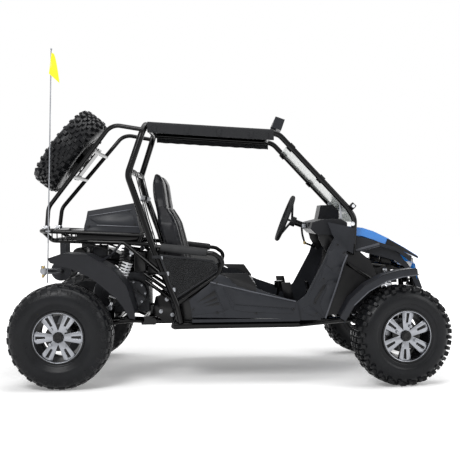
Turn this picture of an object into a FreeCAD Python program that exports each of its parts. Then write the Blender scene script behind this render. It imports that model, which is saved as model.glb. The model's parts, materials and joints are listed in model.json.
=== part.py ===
import FreeCAD, Part
import math
import os
import Sketcher
from FreeCAD import Placement, Rotation, Vector

# Two-seat off-road buggy. Millimetres, +X forward, +Y to the vehicle's left, +Z up.
# The origin is on the ground under the middle of the wheelbase.

os.makedirs("parts", exist_ok=True)
doc = FreeCAD.newDocument("dune_buggy")
sheet = doc.addObject("Spreadsheet::Sheet", "Sizes")

# Driving dimensions
SIZES = {
    "wheelbase": 1800,
    "rear_tyre_radius": 280,
    "rear_tyre_width": 254,
    "rear_track": 1146,
    "front_tyre_radius": 266,
    "front_tyre_width": 178,
    "kingpin_track": 1070,
    "kingpin_offset": 76,
    "steer_rest": 13,
    "rim_radius": 127,
    "rim_flange_radius": 142,
    "rim_wall": 5,
    "rim_lip": 8,
    "spoke_count": 6,
    "front_lug_count": 20,
    "rear_lug_count": 20,
    "front_lug_depth": 13,
    "rear_lug_depth": 7,
    "frame_tube": 38,
    "hoop_tube": 37,
    "pillar_tube": 32,
    "rear_tube": 25,
    "arm_tube": 22,
    "rod_tube": 14,
    "grille_bar": 8,
    "pad_tube": 46,
    "tube_bend": 90,
    "tight_bend": 45,
    "rail_height": 312,
    "rail_half_width": 440,
    "cage_half_width": 345,
    "belt_half_width": 490,
    "roof_height": 1425,
    "panel_wall": 4,
    "canopy_wall": 6,
    "glass_wall": 4,
    "seat_offset": 215,
    "seat_width": 390,
    "wheel_rim_radius": 137,
    "wheel_rim_tube": 26,
    "flag_pole_diameter": 7,
    "spring_diameter": 57,
    "damper_diameter": 34,
    "disc_radius": 90,
    "seat_gap": 0.3,
}
for row, (alias, value) in enumerate(SIZES.items(), start=1):
    sheet.set(f"A{row}", alias)
    sheet.set(f"B{row}", str(value))
    sheet.setAlias(f"B{row}", alias)
doc.recompute()


def size(alias):
    """The value of one cell of the sheet."""
    return float(getattr(sheet, alias))


REAR_AXLE = Vector(-size("wheelbase") / 2, 0, size("rear_tyre_radius"))
FRONT_AXLE = Vector(size("wheelbase") / 2, 0, size("front_tyre_radius"))
CAGE_Y = size("cage_half_width")
RAIL_Y = size("rail_half_width")
BELT_Y = size("belt_half_width")
RAIL_Z = size("rail_height")
FRONT_X = FRONT_AXLE.x
REAR_X = REAR_AXLE.x
WHEEL_Z = FRONT_AXLE.z
ROOF_Z = size("roof_height")
GAP = size("seat_gap")
SIDES = {"left": 1, "right": -1}
nodes = {}


def node(label, item):
    """Register an object of the document as one sub-part, named after its file."""
    item.Label = label
    nodes[label] = item
    return item


def mirrored(points, side):
    """The points on one side: +1 is the left side, -1 the right one."""
    return [Vector(x, y * side, z) for x, y, z in points]


def shifted(line, start):
    """A side profile given from a wheel's own axis, moved to its place along the vehicle."""
    return [(start + x, z) for x, z in line]


def bent_wire(points, bend):
    """Straight runs joined by tangent arcs."""
    edges = []
    start = points[0]
    for before, corner, after in zip(points, points[1:], points[2:]):
        to_start = (before - corner).normalize()
        to_end = (after - corner).normalize()
        half_turn = (math.pi - to_start.getAngle(to_end)) / 2
        run = min((before - corner).Length, (after - corner).Length)
        reach = min(bend * math.tan(half_turn), 0.45 * run)
        if half_turn < 0.02:
            edges.append(Part.LineSegment(start, corner).toShape())
            start = corner
            continue
        radius = reach / math.tan(half_turn)
        first = corner + to_start * reach
        last = corner + to_end * reach
        inward = (to_start + to_end).normalize()
        middle = corner + inward * (radius / math.cos(half_turn) - radius)
        edges.append(Part.LineSegment(start, first).toShape())
        edges.append(Part.Arc(first, middle, last).toShape())
        start = last
    edges.append(Part.LineSegment(start, points[-1]).toShape())
    return Part.Wire(edges)


def tube(name, points, diameter, bend="tube_bend"):
    """A bent round bar: a circle bound to the sheet, swept along runs and arcs."""
    points = [Vector(*point) for point in points]
    path = doc.addObject("Part::Feature", name + "_path")
    path.Shape = bent_wire(points, size(bend))
    ring = doc.addObject("Part::Circle", name + "_ring")
    ring.setExpression("Radius", f"Sizes.{diameter} / 2")
    ring.Placement = Placement(points[0], Rotation(Vector(0, 0, 1), points[1] - points[0]))
    sweep = doc.addObject("Part::Sweep", name)
    sweep.Sections = [ring]
    sweep.Spine = (path, [f"Edge{n + 1}" for n in range(len(path.Shape.Edges))])
    sweep.Solid = True
    sweep.Frenet = False
    return sweep


def tube_pair(name, points, diameter, bend="tube_bend"):
    """The same tube on the left and on the right side."""
    return [
        tube(f"{name}_{word}", mirrored(points, side), diameter, bend)
        for word, side in SIDES.items()
    ]


def cross_tube(name, x, z, half_length, diameter):
    """A straight bar from side to side."""
    return bar(name, Vector(x, -half_length, z), Vector(x, half_length, z), diameter)


def bar(name, start, end, diameter):
    """A straight round bar between two points."""
    start = Vector(*start)
    end = Vector(*end)
    item = doc.addObject("Part::Cylinder", name)
    item.setExpression("Radius", f"Sizes.{diameter} / 2")
    item.Height = (end - start).Length
    item.Placement = Placement(start, Rotation(Vector(0, 0, 1), end - start))
    return item


def cylinder(name, start, end, radius):
    """A plain cylinder of a given radius between two points."""
    start = Vector(*start)
    end = Vector(*end)
    item = doc.addObject("Part::Cylinder", name)
    item.Radius = radius
    item.Height = (end - start).Length
    item.Placement = Placement(start, Rotation(Vector(0, 0, 1), end - start))
    return item


def box(name, centre, lengths, rotation=Rotation()):
    """A box about its own centre."""
    item = doc.addObject("Part::Box", name)
    item.Length, item.Width, item.Height = lengths
    half = Vector(*lengths) * 0.5
    item.Placement = Placement(Vector(*centre) - rotation.multVec(half), rotation)
    return item


def fuse(name, items):
    """Join solids that are welded together."""
    item = doc.addObject("Part::MultiFuse", name)
    item.Shapes = items
    return item


def cut(name, base, tools):
    """Take the material of each tool out of the base, one after the other."""
    for n, tool in enumerate(tools):
        item = doc.addObject("Part::Cut", f"{name}_{n}")
        item.Base = base
        item.Tool = tool
        base = item
    return base


def common(name, items):
    """Keep only what the solids share."""
    item = doc.addObject("Part::MultiCommon", name)
    item.Shapes = items
    return item


def compound(name, items):
    """Like pieces on one body that don't touch."""
    item = doc.addObject("Part::Compound", name)
    item.Links = items
    return item


def sketch_body(name, outline, holes=()):
    """A body with one sketch of closed outlines, each corner held at its own place."""
    body = doc.addObject("PartDesign::Body", name)
    plane = [f for f in body.Origin.OriginFeatures if f.Role == "XY_Plane"][0]
    sketch = body.newObject("Sketcher::SketchObject", name + "_sketch")
    sketch.AttachmentSupport = (plane, [""])
    sketch.MapMode = "FlatFace"
    for loop in [outline, *holes]:
        first = sketch.GeometryCount
        count = len(loop)
        for n in range(count):
            start = Vector(*loop[n], 0)
            end = Vector(*loop[(n + 1) % count], 0)
            sketch.addGeometry(Part.LineSegment(start, end), False)
        for n in range(count):
            following = first + (n + 1) % count
            sketch.addConstraint(Sketcher.Constraint("Coincident", first + n, 2, following, 1))
        for n, (across, up) in enumerate(loop):
            hold(sketch, "DistanceX", first + n, across)
            hold(sketch, "DistanceY", first + n, up)
    return body, sketch


def hold(sketch, kind, corner, value):
    """Place one corner of a sketch, on an axis where the value is nought."""
    if abs(value) < 1e-6:
        axis = -2 if kind == "DistanceX" else -1
        sketch.addConstraint(Sketcher.Constraint("PointOnObject", corner, 1, axis))
    else:
        sketch.addConstraint(Sketcher.Constraint(kind, -1, 1, corner, 1, value))


def side_pad(name, outline, y_left, length, holes=()):
    """A side profile of X and Z padded from y_left towards the right side."""
    body, sketch = sketch_body(name, outline, holes)
    pad = body.newObject("PartDesign::Pad", name + "_pad")
    pad.Profile = sketch
    if isinstance(length, str):
        pad.setExpression("Length", f"Sizes.{length}")
    else:
        pad.Length = length
    body.Placement = Placement(Vector(0, y_left, 0), Rotation(Vector(1, 0, 0), 90))
    return body


def plan_pad(name, outline, z_low, length):
    """A plan outline of X and Y padded upwards from z_low."""
    body, sketch = sketch_body(name, outline)
    pad = body.newObject("PartDesign::Pad", name + "_pad")
    pad.Profile = sketch
    pad.Length = length
    body.Placement = Placement(Vector(0, 0, z_low), Rotation())
    return body


def front_pad(name, outline, x_rear, length, holes=()):
    """A front view of Y and Z padded forward from x_rear."""
    body, sketch = sketch_body(name, outline, holes)
    pad = body.newObject("PartDesign::Pad", name + "_pad")
    pad.Profile = sketch
    pad.Length = length
    facing = Rotation(Vector(0, 0, 1), 90).multiply(Rotation(Vector(1, 0, 0), 90))
    body.Placement = Placement(Vector(x_rear, 0, 0), facing)
    return body


def spun(name, outline, placement):
    """An outline of axial place and radius, turned about its own axis."""
    body, sketch = sketch_body(name, outline)
    turn = body.newObject("PartDesign::Revolution", name + "_turn")
    turn.Profile = sketch
    turn.ReferenceAxis = (sketch, ["H_Axis"])
    turn.Angle = 360
    body.Placement = placement
    return body


def pair(name, make):
    """One piece for each side, in one node."""
    return compound(name, [make(f"{name}_{word}", side) for word, side in SIDES.items()])


def strip(name, line, wall, half_width):
    """A thin plate that follows a side profile, across the vehicle."""
    return side_pad(name, band(line, wall), half_width, 2 * half_width)


def band(line, wall):
    """The closed outline of a line given a thickness to its right side."""
    offset = []
    for n, point in enumerate(line):
        before = Vector(*line[max(n - 1, 0)], 0)
        here = Vector(*point, 0)
        after = Vector(*line[min(n + 1, len(line) - 1)], 0)
        first = (here - before) if n else (after - here)
        last = (after - here) if n < len(line) - 1 else (here - before)
        first.normalize()
        last.normalize()
        along = (first + last).normalize()
        across = Vector(along.y, -along.x, 0)
        reach = wall / max(0.3, across.dot(Vector(first.y, -first.x, 0)))
        moved = here + across * reach
        offset.append((moved.x, moved.y))
    return list(line) + offset[::-1]


def make_arm_brackets():
    """Plates of the lower frame that carry the wishbones and the front shocks."""
    items = []
    for word, side in SIDES.items():
        items.append(box(f"low_plate_{word}", (FRONT_X, side * 207, RAIL_Z), (300, 18, 36)))
        items.append(box(f"top_plate_{word}", (FRONT_X, side * 240, 432), (240, 16, 50)))
        items.append(box(f"web_plate_{word}", (FRONT_X, side * 226, 470), (60, 16, 300)))
        items.append(box(f"post_plate_{word}", (FRONT_X, side * 236, 606), (60, 40, 30)))
    return items


# Lower frame: outer rails, inner rails and cross tubes, welded
def make_lower_frame():
    outer = [(-300, 478, RAIL_Z), (-180, RAIL_Y + 20, RAIL_Z), (380, RAIL_Y, RAIL_Z)]
    outer += [(FRONT_X - 260, 250, RAIL_Z), (FRONT_X + 160, 170, RAIL_Z + 10)]
    pieces = tube_pair("outer_rail", outer, "frame_tube")
    inner = [(-430, 200, RAIL_Z), (-300, 200, RAIL_Z), (FRONT_X - 300, 200, RAIL_Z)]
    pieces += tube_pair("inner_rail", inner, "pillar_tube")
    crosses = [(-300, 478), (-20, 453), (380, 440), (FRONT_X - 260, 250), (FRONT_X + 150, 172)]
    for n, (x, half) in enumerate(crosses):
        pieces.append(cross_tube(f"floor_cross_{n}", x, RAIL_Z, half, "pillar_tube"))
    pieces.append(cross_tube("pivot_cross", -430, RAIL_Z, 240, "frame_tube"))
    knee = (FRONT_X - 200, 300, 640)
    upper = [knee, (FRONT_X + 160, 190, 590), (FRONT_X + 175, 180, 330)]
    pieces += tube_pair("front_upright", upper, "pillar_tube", "tight_bend")
    pieces.append(cross_tube("front_upper_cross", FRONT_X + 158, 590, 190, "rear_tube"))
    pieces += tube_pair("front_post", [knee, (FRONT_X - 210, 240, RAIL_Z)], "pillar_tube")
    pieces.append(cross_tube("front_mid_cross", FRONT_X - 200, 640, 300, "rear_tube"))
    pieces += make_arm_brackets()
    for word, side in SIDES.items():
        pieces.append(box(f"pivot_plate_{word}", (-462, side * 185, RAIL_Z), (84, 10, 48)))
        pieces.append(box(f"engine_plate_{word}", (-440, side * 80, 350), (40, 10, 80)))
        stay = [(FRONT_X + 140, 190, 590), (FRONT_X + 60, 300, 604), (FRONT_X + 60, 520, 604)]
        pieces.append(tube(f"fender_stay_{word}", mirrored(stay, side), "rod_tube", "tight_bend"))
    return node("lower_frame", fuse("lower_frame_weld", pieces))


HOOP_FOOT = (-262, 478, RAIL_Z + 16)
HOOP_LINE = [
    HOOP_FOOT,
    (-282, 478, 427),
    (-402, 440, 717),
    (-552, 385, 1145),
    (-455, CAGE_Y + 10, ROOF_Z + 6),
]


def make_main_hoop(frame):
    left = [Vector(*point) for point in HOOP_LINE]
    right = [Vector(x, -y, z) for x, y, z in reversed(HOOP_LINE)]
    hoop = tube("hoop_tube_bent", left + right, "hoop_tube")
    return node("main_hoop", cut("main_hoop_cut", hoop, [frame]))


def make_cage_front(frame, hoop):
    line = [
        (-444, CAGE_Y, ROOF_Z),
        (290, CAGE_Y, ROOF_Z - 55),
        (672, CAGE_Y, 951),
        (712, CAGE_Y, 890),
        (706, CAGE_Y - 10, 747),
        (FRONT_X - 200, CAGE_Y - 45, 640),
    ]
    tubes = tube_pair("roof_rail", line, "pillar_tube")
    bars = [
        cross_tube("roof_bar", 250, ROOF_Z - 52, CAGE_Y, "rear_tube"),
        cross_tube("dash_bar", 709, 818, CAGE_Y - 5, "rear_tube"),
    ]
    welded = fuse("cage_front_weld", tubes + bars)
    return node("cage_front", cut("cage_front_cut", welded, [frame, hoop]))


REAR_TOP = Vector(-644, 330, 1433)
REAR_LOW = Vector(-1024, 225, 972)
BELT_BAR_X = -542
BELT_BAR_Z = 1165


def make_rear_cage(hoop):
    line = [(-470, CAGE_Y + 8, 1400), tuple(REAR_TOP), tuple(REAR_LOW), (-1038, 207, 845)]
    tubes = tube_pair("rear_stay", line, "rear_tube")
    belt_bar = cross_tube("belt_bar", BELT_BAR_X, BELT_BAR_Z, 385, "pillar_tube")
    seat_bar = cross_tube("seat_bar", -402, 717, 440, "pillar_tube")
    pieces = compound("rear_cage_tubes", tubes + [belt_bar, seat_bar])
    return node("rear_cage", cut("rear_cage_cut", pieces, [hoop]))


def make_rear_rack(hoop, cage):
    top = [(-470, 330, 806), (-1014, 330, 838), (-1056, 280, 838), (-1056, -280, 838), (-1014, -330, 838)]
    top += [(-470, -330, 806)]
    pieces = [tube("rack_top", top, "rear_tube", "tight_bend")]
    low = [(-1054, 250, 838), (-988, 300, 784), (-560, 330, 766), (-418, 436, 755)]
    pieces += tube_pair("rack_low", low, "rear_tube", "tight_bend")
    strut = [(-580, 332, 766), (-345, 456, 580)]
    pieces += tube_pair("rack_strut", strut, "rear_tube")
    for n, x in enumerate([-1000, -900, -820]):
        pieces.append(cross_tube(f"rack_slat_{n}", x, 836 + (x + 1000) * -0.055, 330, "arm_tube"))
    pieces.append(cross_tube("rack_front_cross", -480, 806, 330, "rear_tube"))
    pieces.append(cross_tube("rack_low_cross", -600, 768, 330, "rear_tube"))
    pieces += tube_pair("rack_post", [(-480, 330, 806), (-500, 360, 760)], "rear_tube")
    welded = fuse("rear_rack_weld", pieces)
    return node("rear_rack", cut("rear_rack_cut", welded, [hoop, cage]))


# Wheels
def tyre_outline(tip_radius, width, bead, lug_depth):
    """Half section of the carcass under its lugs: bead, bulged sidewall, shoulder and crown."""
    radius = tip_radius - lug_depth
    half = width / 2
    inner = size("rim_radius")
    right = [
        (bead, inner),
        (bead, size("rim_flange_radius")),
        (half - 6, inner + 0.32 * (radius - inner)),
        (half, inner + 0.55 * (radius - inner)),
        (half - 10, radius - 34),
        (half - 34, radius - 10),
        (0.3 * half, radius),
    ]
    left = [(-across, up) for across, up in reversed(right)]
    return right + left


def make_tyre(name, end, bead, place):
    """A carcass with a row of blocks from each shoulder to the crown, the rows staggered."""
    radius = size(f"{end}_tyre_radius")
    width = size(f"{end}_tyre_width")
    depth = size(f"{end}_lug_depth")
    count = int(size(f"{end}_lug_count"))
    carcass = spun(f"{name}_carcass", tyre_outline(radius, width, bead, depth), Placement())
    root = radius - depth - 6
    pitch = 360.0 / count
    length = math.radians(pitch) * radius * 0.52
    top = math.sqrt((radius + depth) ** 2 - (length / 2) ** 2)
    blocks = []
    for side in (1, -1):
        outer = side * width * 0.465
        shoulder = side * width * 0.33
        inner = side * width * 0.05
        outline = [
            (inner, root),
            (inner, top),
            (shoulder, top - 4),
            (outer, radius - 32),
            (outer, root - 32),
        ]
        blocks.append(block_row(f"{name}_blocks_{side}", outline, length, count, pitch * 0.25 * side))
    tyre = fuse(f"{name}_weld", [carcass] + blocks)
    tyre.Placement = place
    return tyre


def block_row(name, outline, length, count, start):
    """One block, given as a section of axial place and radius, repeated round the wheel's axis."""
    body, sketch = sketch_body(name, outline)
    pad = body.newObject("PartDesign::Pad", name + "_pad")
    pad.Profile = sketch
    pad.Length = length
    pad.Midplane = True
    pattern = body.newObject("PartDesign::PolarPattern", name + "_ring")
    pattern.Originals = [pad]
    pattern.Axis = (sketch, ["H_Axis"])
    pattern.Angle = 360
    pattern.Occurrences = count
    body.Tip = pattern
    body.Placement.Rotation = Rotation(Vector(1, 0, 0), start)
    return body


def rim_outline(half):
    """Barrel with a lip at each end and a flat web for the spokes."""
    outer = size("rim_radius")
    flange = size("rim_flange_radius")
    wall = size("rim_wall")
    lip = size("rim_lip")
    return [
        (-half - lip, outer - wall),
        (-half - lip, flange),
        (-half, flange),
        (-half, outer),
        (half, outer),
        (half, flange),
        (half + lip, flange),
        (half + lip, outer - wall),
        (half - 2 * lip, outer - 2 * wall),
        (-half + 2 * lip, outer - 2 * wall),
    ]


def make_rim(name, half, placement, outward):
    """Barrel, six slotted double spokes and a hub with its cap, the face at the outer end."""
    barrel = spun(name + "_barrel", rim_outline(half), placement)
    face = outward * (half - 22)
    back = face - outward * 36
    plate = face + outward * 3
    cap = face + outward * 14
    hub_outline = [(back, 0.0), (back, 62), (plate, 62), (plate, 40), (cap - outward * 4, 33), (cap, 30), (cap, 0.0)]
    hub = spun(name + "_hub", hub_outline, placement)
    count = int(size("spoke_count"))
    reach = size("rim_radius") - size("rim_wall")
    outline = [(34, -15), (70, -20), (reach, -31), (reach, 31), (70, 20), (34, 15)]
    slot = [(64, -4), (reach - 9, -7), (reach - 9, 7), (64, 4)]
    spokes, sketch = sketch_body(f"{name}_spokes", outline, [slot])
    pad = spokes.newObject("PartDesign::Pad", f"{name}_spoke_pad")
    pad.Profile = sketch
    pad.Length = 16
    pad.Midplane = True
    pattern = spokes.newObject("PartDesign::PolarPattern", f"{name}_spoke_ring")
    pattern.Originals = [pad]
    pattern.Axis = (sketch, ["N_Axis"])
    pattern.Angle = 360
    pattern.Occurrences = count
    spokes.Tip = pattern
    local = Placement(Vector(face, 0, 0), Rotation(Vector(0, 1, 0), 90))
    spokes.Placement = placement.multiply(local)
    return fuse(name + "_weld", [barrel, hub, spokes])


AXLE_TURN = Rotation(Vector(0, 0, 1), 90)


def wheel_placement(centre, yaw=0.0):
    """Local X is the wheel's own axis, which points to the left side."""
    return Placement(centre, Rotation(Vector(0, 0, 1), yaw).multiply(AXLE_TURN))


def steered(point, side):
    """Where a point given for straight-ahead wheels is once they are steered."""
    pin = Vector(FRONT_X, side * size("kingpin_track") / 2, 0)
    turn = Rotation(Vector(0, 0, 1), size("steer_rest"))
    return pin + turn.multVec(Vector(*point) - pin)


def make_wheels():
    rear_half = size("rear_tyre_width") / 2 - 26
    rear_tyres = []
    rear_rims = []
    front_half = size("front_tyre_width") / 2 - 14
    for word, side in SIDES.items():
        centre = REAR_AXLE + Vector(0, side * size("rear_track") / 2, 0)
        place = wheel_placement(centre)
        rear_tyres.append(make_tyre(f"rear_tyre_body_{word}", "rear", rear_half, place))
        rear_rims.append(make_rim(f"rear_rim_{word}", rear_half, place, side))
        offset = side * (size("kingpin_track") / 2 + size("kingpin_offset"))
        centre = steered(FRONT_AXLE + Vector(0, offset, 0), side)
        place = wheel_placement(centre, size("steer_rest"))
        node(f"front_tyre_{word}", make_tyre(f"front_tyre_body_{word}", "front", front_half, place))
        node(f"front_rim_{word}", make_rim(f"front_rim_{word}", front_half, place, side))
    node("rear_tyres", compound("rear_tyre_pair", rear_tyres))
    node("rear_rims", compound("rear_rim_pair", rear_rims))


SPARE_CENTRE = Vector(-928, 0, 1308)


# Down the spare's disc, a little steeper than the stays
SPARE_RUN = Vector(-372, 0, -465)


def make_spare():
    half = size("front_tyre_width") / 2 - 14
    lean = math.degrees(math.atan2(SPARE_RUN.z, SPARE_RUN.x))
    # local X of the wheel is the normal of the stays, upwards and rearwards
    place = Placement(SPARE_CENTRE, Rotation(Vector(0, 1, 0), -(lean - 90)))
    node("spare_tyre", make_tyre("spare_tyre_body", "front", half, place))
    node("spare_rim", make_rim("spare_rim", half, place, 1))
    return place


def stay_half_width(z):
    """How far out the rear stays are at a height on their slanted run."""
    share = (z - REAR_LOW.z) / (REAR_TOP.z - REAR_LOW.z)
    return REAR_LOW.y + share * (REAR_TOP.y - REAR_LOW.y)


def make_spare_mount(place, tools):
    """Two light cross tubes between the rear stays, a plate and a hub post."""
    along = (REAR_TOP - REAR_LOW).normalize()
    normal = place.Rotation.multVec(Vector(1, 0, 0))
    foot = SPARE_CENTRE - normal * (SPARE_CENTRE - REAR_TOP).dot(normal)
    pieces = []
    for n, step in enumerate([95, -95]):
        middle = Vector(foot.x, 0, foot.z) + along * step
        reach = Vector(0, stay_half_width(middle.z), 0)
        pieces.append(bar(f"spare_cross_{n}", middle - reach, middle + reach, "arm_tube"))
    plate_centre = Vector(foot.x, 0, foot.z) + normal * 13
    pieces.append(box("spare_plate", plate_centre, (8, 120, 230), place.Rotation))
    half = size("front_tyre_width") / 2 - 14
    hub_back = SPARE_CENTRE + normal * (half - 22 - 36 - GAP)
    pieces.append(cylinder("spare_post", plate_centre, hub_back, 30))
    node("spare_mount", cut("spare_mount_cut", fuse("spare_mount_weld", pieces), tools))


def make_flag(tools):
    low = Vector(-1002, -400, 551)
    top = Vector(-964, -400, 1848)
    pole = cylinder("flag_pole_rod", low, top, size("flag_pole_diameter") / 2)
    ball = doc.addObject("Part::Sphere", "flag_pole_ball")
    ball.Radius = 6
    ball.Placement.Base = top
    foot = box("flag_pole_foot", (-995, -368, 838), (26, 76, 8))
    node("flag_pole", cut("flag_pole_cut", fuse("flag_pole_weld", [pole, ball, foot]), tools))
    outline = [(-961, 1826), (-900, 1800), (-930, 1690), (-946, 1672), (-965, 1680)]
    node("flag", cut("flag_cut", side_pad("flag_cloth", outline, -399, 2), [nodes["flag_pole"]]))


# Suspension and axles
SHOCK_FOOT_X = REAR_X + 230


def make_swing_arm(frame):
    arm_y = 285
    pieces = tube_pair(
        "swing_rail",
        [(-482, 150, RAIL_Z), (-570, arm_y, RAIL_Z + 20), (REAR_X + 30, arm_y, REAR_AXLE.z + 12)],
        "frame_tube",
    )
    pieces.append(cross_tube("swing_cross", -640, RAIL_Z + 12, arm_y, "pillar_tube"))
    pivot_half = 180 - GAP
    pieces.append(cylinder("swing_pivot", (-482, -pivot_half, RAIL_Z), (-482, pivot_half, RAIL_Z), 21))
    for word, side in SIDES.items():
        pieces.append(
            cylinder(
                f"axle_bearing_{word}",
                (REAR_AXLE.x, side * (arm_y - 30), REAR_AXLE.z),
                (REAR_AXLE.x, side * (arm_y + 30), REAR_AXLE.z),
                46,
            )
        )
        pieces.append(box(f"shock_tab_{word}", (SHOCK_FOOT_X, side * 285, 350), (50, 12, 110)))
    bore = cylinder("axle_bore", REAR_AXLE - Vector(0, 400, 0), REAR_AXLE + Vector(0, 400, 0), 18)
    return node("swing_arm", cut("swing_arm_cut", fuse("swing_arm_weld", pieces), [bore, frame]))


def make_rear_axle():
    reach = size("rear_track") / 2 + 43
    shaft = cylinder("axle_shaft", REAR_AXLE - Vector(0, reach, 0), REAR_AXLE + Vector(0, reach, 0), 17.5)
    disc = cylinder("axle_disc", REAR_AXLE + Vector(0, 120, 0), REAR_AXLE + Vector(0, 126, 0), 95)
    sprocket = cylinder("axle_sprocket", REAR_AXLE - Vector(0, 126, 0), REAR_AXLE - Vector(0, 120, 0), 100)
    hub = cylinder("axle_carrier", REAR_AXLE - Vector(0, 150, 0), REAR_AXLE + Vector(0, 150, 0), 34)
    node("rear_axle", fuse("rear_axle_weld", [shaft, disc, sprocket, hub]))


def shock(name, low, top, pin_axis):
    """Damper, rod and a sleeve in the place of the coil, with an eye at each end."""
    low = Vector(*low)
    top = Vector(*top)
    along = top - low
    pieces = [
        bar(name + "_rod", low, top, "rod_tube"),
        bar(name + "_body", low + along * 0.1, low + along * 0.9, "damper_diameter"),
        bar(name + "_spring", low + along * 0.17, low + along * 0.83, "spring_diameter"),
    ]
    for n, point in enumerate([low, top]):
        pieces.append(cylinder(f"{name}_eye_{n}", point - pin_axis * 12, point + pin_axis * 12, 15))
    return fuse(name, pieces)


def make_rear_shocks(tools):
    items = [
        shock(
            f"rear_shock_{word}",
            (SHOCK_FOOT_X, side * (303 + GAP), 400),
            (-539, side * 325, 713),
            Vector(0, 1, 0),
        )
        for word, side in SIDES.items()
    ]
    node("rear_shocks", cut("rear_shocks_cut", compound("rear_shock_pair", items), tools))


PIN_Y = size("kingpin_track") / 2
PIN_LOW = 215
PIN_TOP = 331
ARM_APEX_LOW = Vector(FRONT_X, PIN_Y, 192)
ARM_APEX_TOP = Vector(FRONT_X, PIN_Y, 345)


def arm(name, apex, spread, root_y, root_z, side, ball):
    """A two-legged wishbone from the frame to its ball joint."""
    tip = Vector(apex.x, side * apex.y, apex.z)
    legs = []
    for n, x in enumerate([apex.x - spread, apex.x + spread]):
        legs.append(bar(f"{name}_leg_{n}", tip, (x, side * root_y, root_z), "arm_tube"))
        eye = Vector(x, side * root_y, root_z)
        legs.append(cylinder(f"{name}_eye_{n}", eye - Vector(20, 0, 0), eye + Vector(20, 0, 0), 15))
    legs.append(cylinder(f"{name}_ball", (tip.x, tip.y, ball[0]), (tip.x, tip.y, ball[1]), 16))
    return fuse(name, legs)


def make_front_arms(frame):
    items = []
    for word, side in SIDES.items():
        items.append(arm(f"lower_arm_{word}", ARM_APEX_LOW, 110, 225, RAIL_Z, side, (178, PIN_LOW)))
        items.append(arm(f"upper_arm_{word}", ARM_APEX_TOP, 90, 262, 432, side, (PIN_TOP, 359)))
        items.append(bar(f"shock_seat_{word}", (FRONT_X - 50, side * 402, 238), (FRONT_X + 50, side * 402, 238), "rod_tube"))
    welded = fuse("front_arms_weld", items)
    node("front_arms", cut("front_arms_cut", welded, [frame]))


def make_front_shocks(tools):
    items = []
    for word, side in SIDES.items():
        low = (FRONT_X, side * 402, 262)
        top = (FRONT_X - 10, side * 268, 590)
        items.append(shock(f"front_shock_{word}", low, top, Vector(1, 0, 0)))
    node("front_shocks", cut("front_shocks_cut", compound("front_shock_pair", items), tools))


RACK_X = FRONT_X - 100
RACK_Z = 352
ARM_INSET = 38


def steer_line(pin_y, side):
    """The steering arm's line, from the kingpin back to its eye."""
    inner_y = pin_y - side * ARM_INSET
    return [(FRONT_X, pin_y, 292), (FRONT_X - 32, inner_y, 292), (RACK_X, inner_y, 292)]


def make_knuckles():
    for word, side in SIDES.items():
        pin_y = side * PIN_Y
        foot = (FRONT_X, pin_y, PIN_LOW + GAP)
        head = (FRONT_X, pin_y, PIN_TOP - GAP)
        spindle_end = (FRONT_X, pin_y + side * 92.7, WHEEL_Z)
        pieces = [
            cylinder(f"kingpin_{word}", foot, head, 17),
            cylinder(f"spindle_{word}", (FRONT_X, pin_y, WHEEL_Z), spindle_end, 13),
            tube(f"steer_arm_{word}", steer_line(pin_y, side), "rod_tube", "tight_bend"),
            cylinder(
                f"steer_eye_{word}",
                (RACK_X, pin_y - side * ARM_INSET, 282),
                (RACK_X, pin_y - side * ARM_INSET, 300),
                12,
            ),
        ]
        caliper = box(f"caliper_{word}", (FRONT_X - 84, pin_y + side * 76, WHEEL_Z + 24), (32, 46, 40))
        slot = cylinder(
            f"caliper_slot_{word}",
            (FRONT_X, pin_y + side * 68, WHEEL_Z),
            (FRONT_X, pin_y + side * 84, WHEEL_Z),
            size("disc_radius") + 6,
        )
        arm_plate = box(f"caliper_arm_{word}", (FRONT_X - 37, pin_y + side * 57, WHEEL_Z + 16), (84, 8, 64))
        body = fuse(f"knuckle_weld_{word}", pieces + [cut(f"caliper_cut_{word}", caliper, [slot]), arm_plate])
        turn_about_kingpin(body, side)
        node(f"knuckle_{word}", body)


def turn_about_kingpin(item, side):
    """Turn a piece made for straight-ahead wheels to the steered rest."""
    pin = Vector(FRONT_X, side * size("kingpin_track") / 2, 0)
    turn = Rotation(Vector(0, 0, 1), size("steer_rest"))
    item.Placement = Placement(pin - turn.multVec(pin), turn).multiply(item.Placement)


def make_front_discs():
    """A brake disc on its hat, bolted to each front wheel."""
    for word, side in SIDES.items():
        wheel_y = side * (size("kingpin_track") / 2 + size("kingpin_offset"))
        middle = Vector(FRONT_X, wheel_y, WHEEL_Z)
        thin = Vector(0, 2, 0)
        disc = cylinder(f"disc_plate_{word}", middle - thin, middle + thin, size("disc_radius"))
        hat = cylinder(f"disc_hat_{word}", middle - thin * side, middle + Vector(0, side * 17, 0), 42)
        bore = cylinder(f"disc_bore_{word}", middle - Vector(0, 40, 0), middle + Vector(0, 40, 0), 16)
        body = cut(f"front_disc_cut_{word}", fuse(f"disc_weld_{word}", [disc, hat]), [bore])
        turn_about_kingpin(body, side)
        node(f"front_disc_{word}", body)


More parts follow.
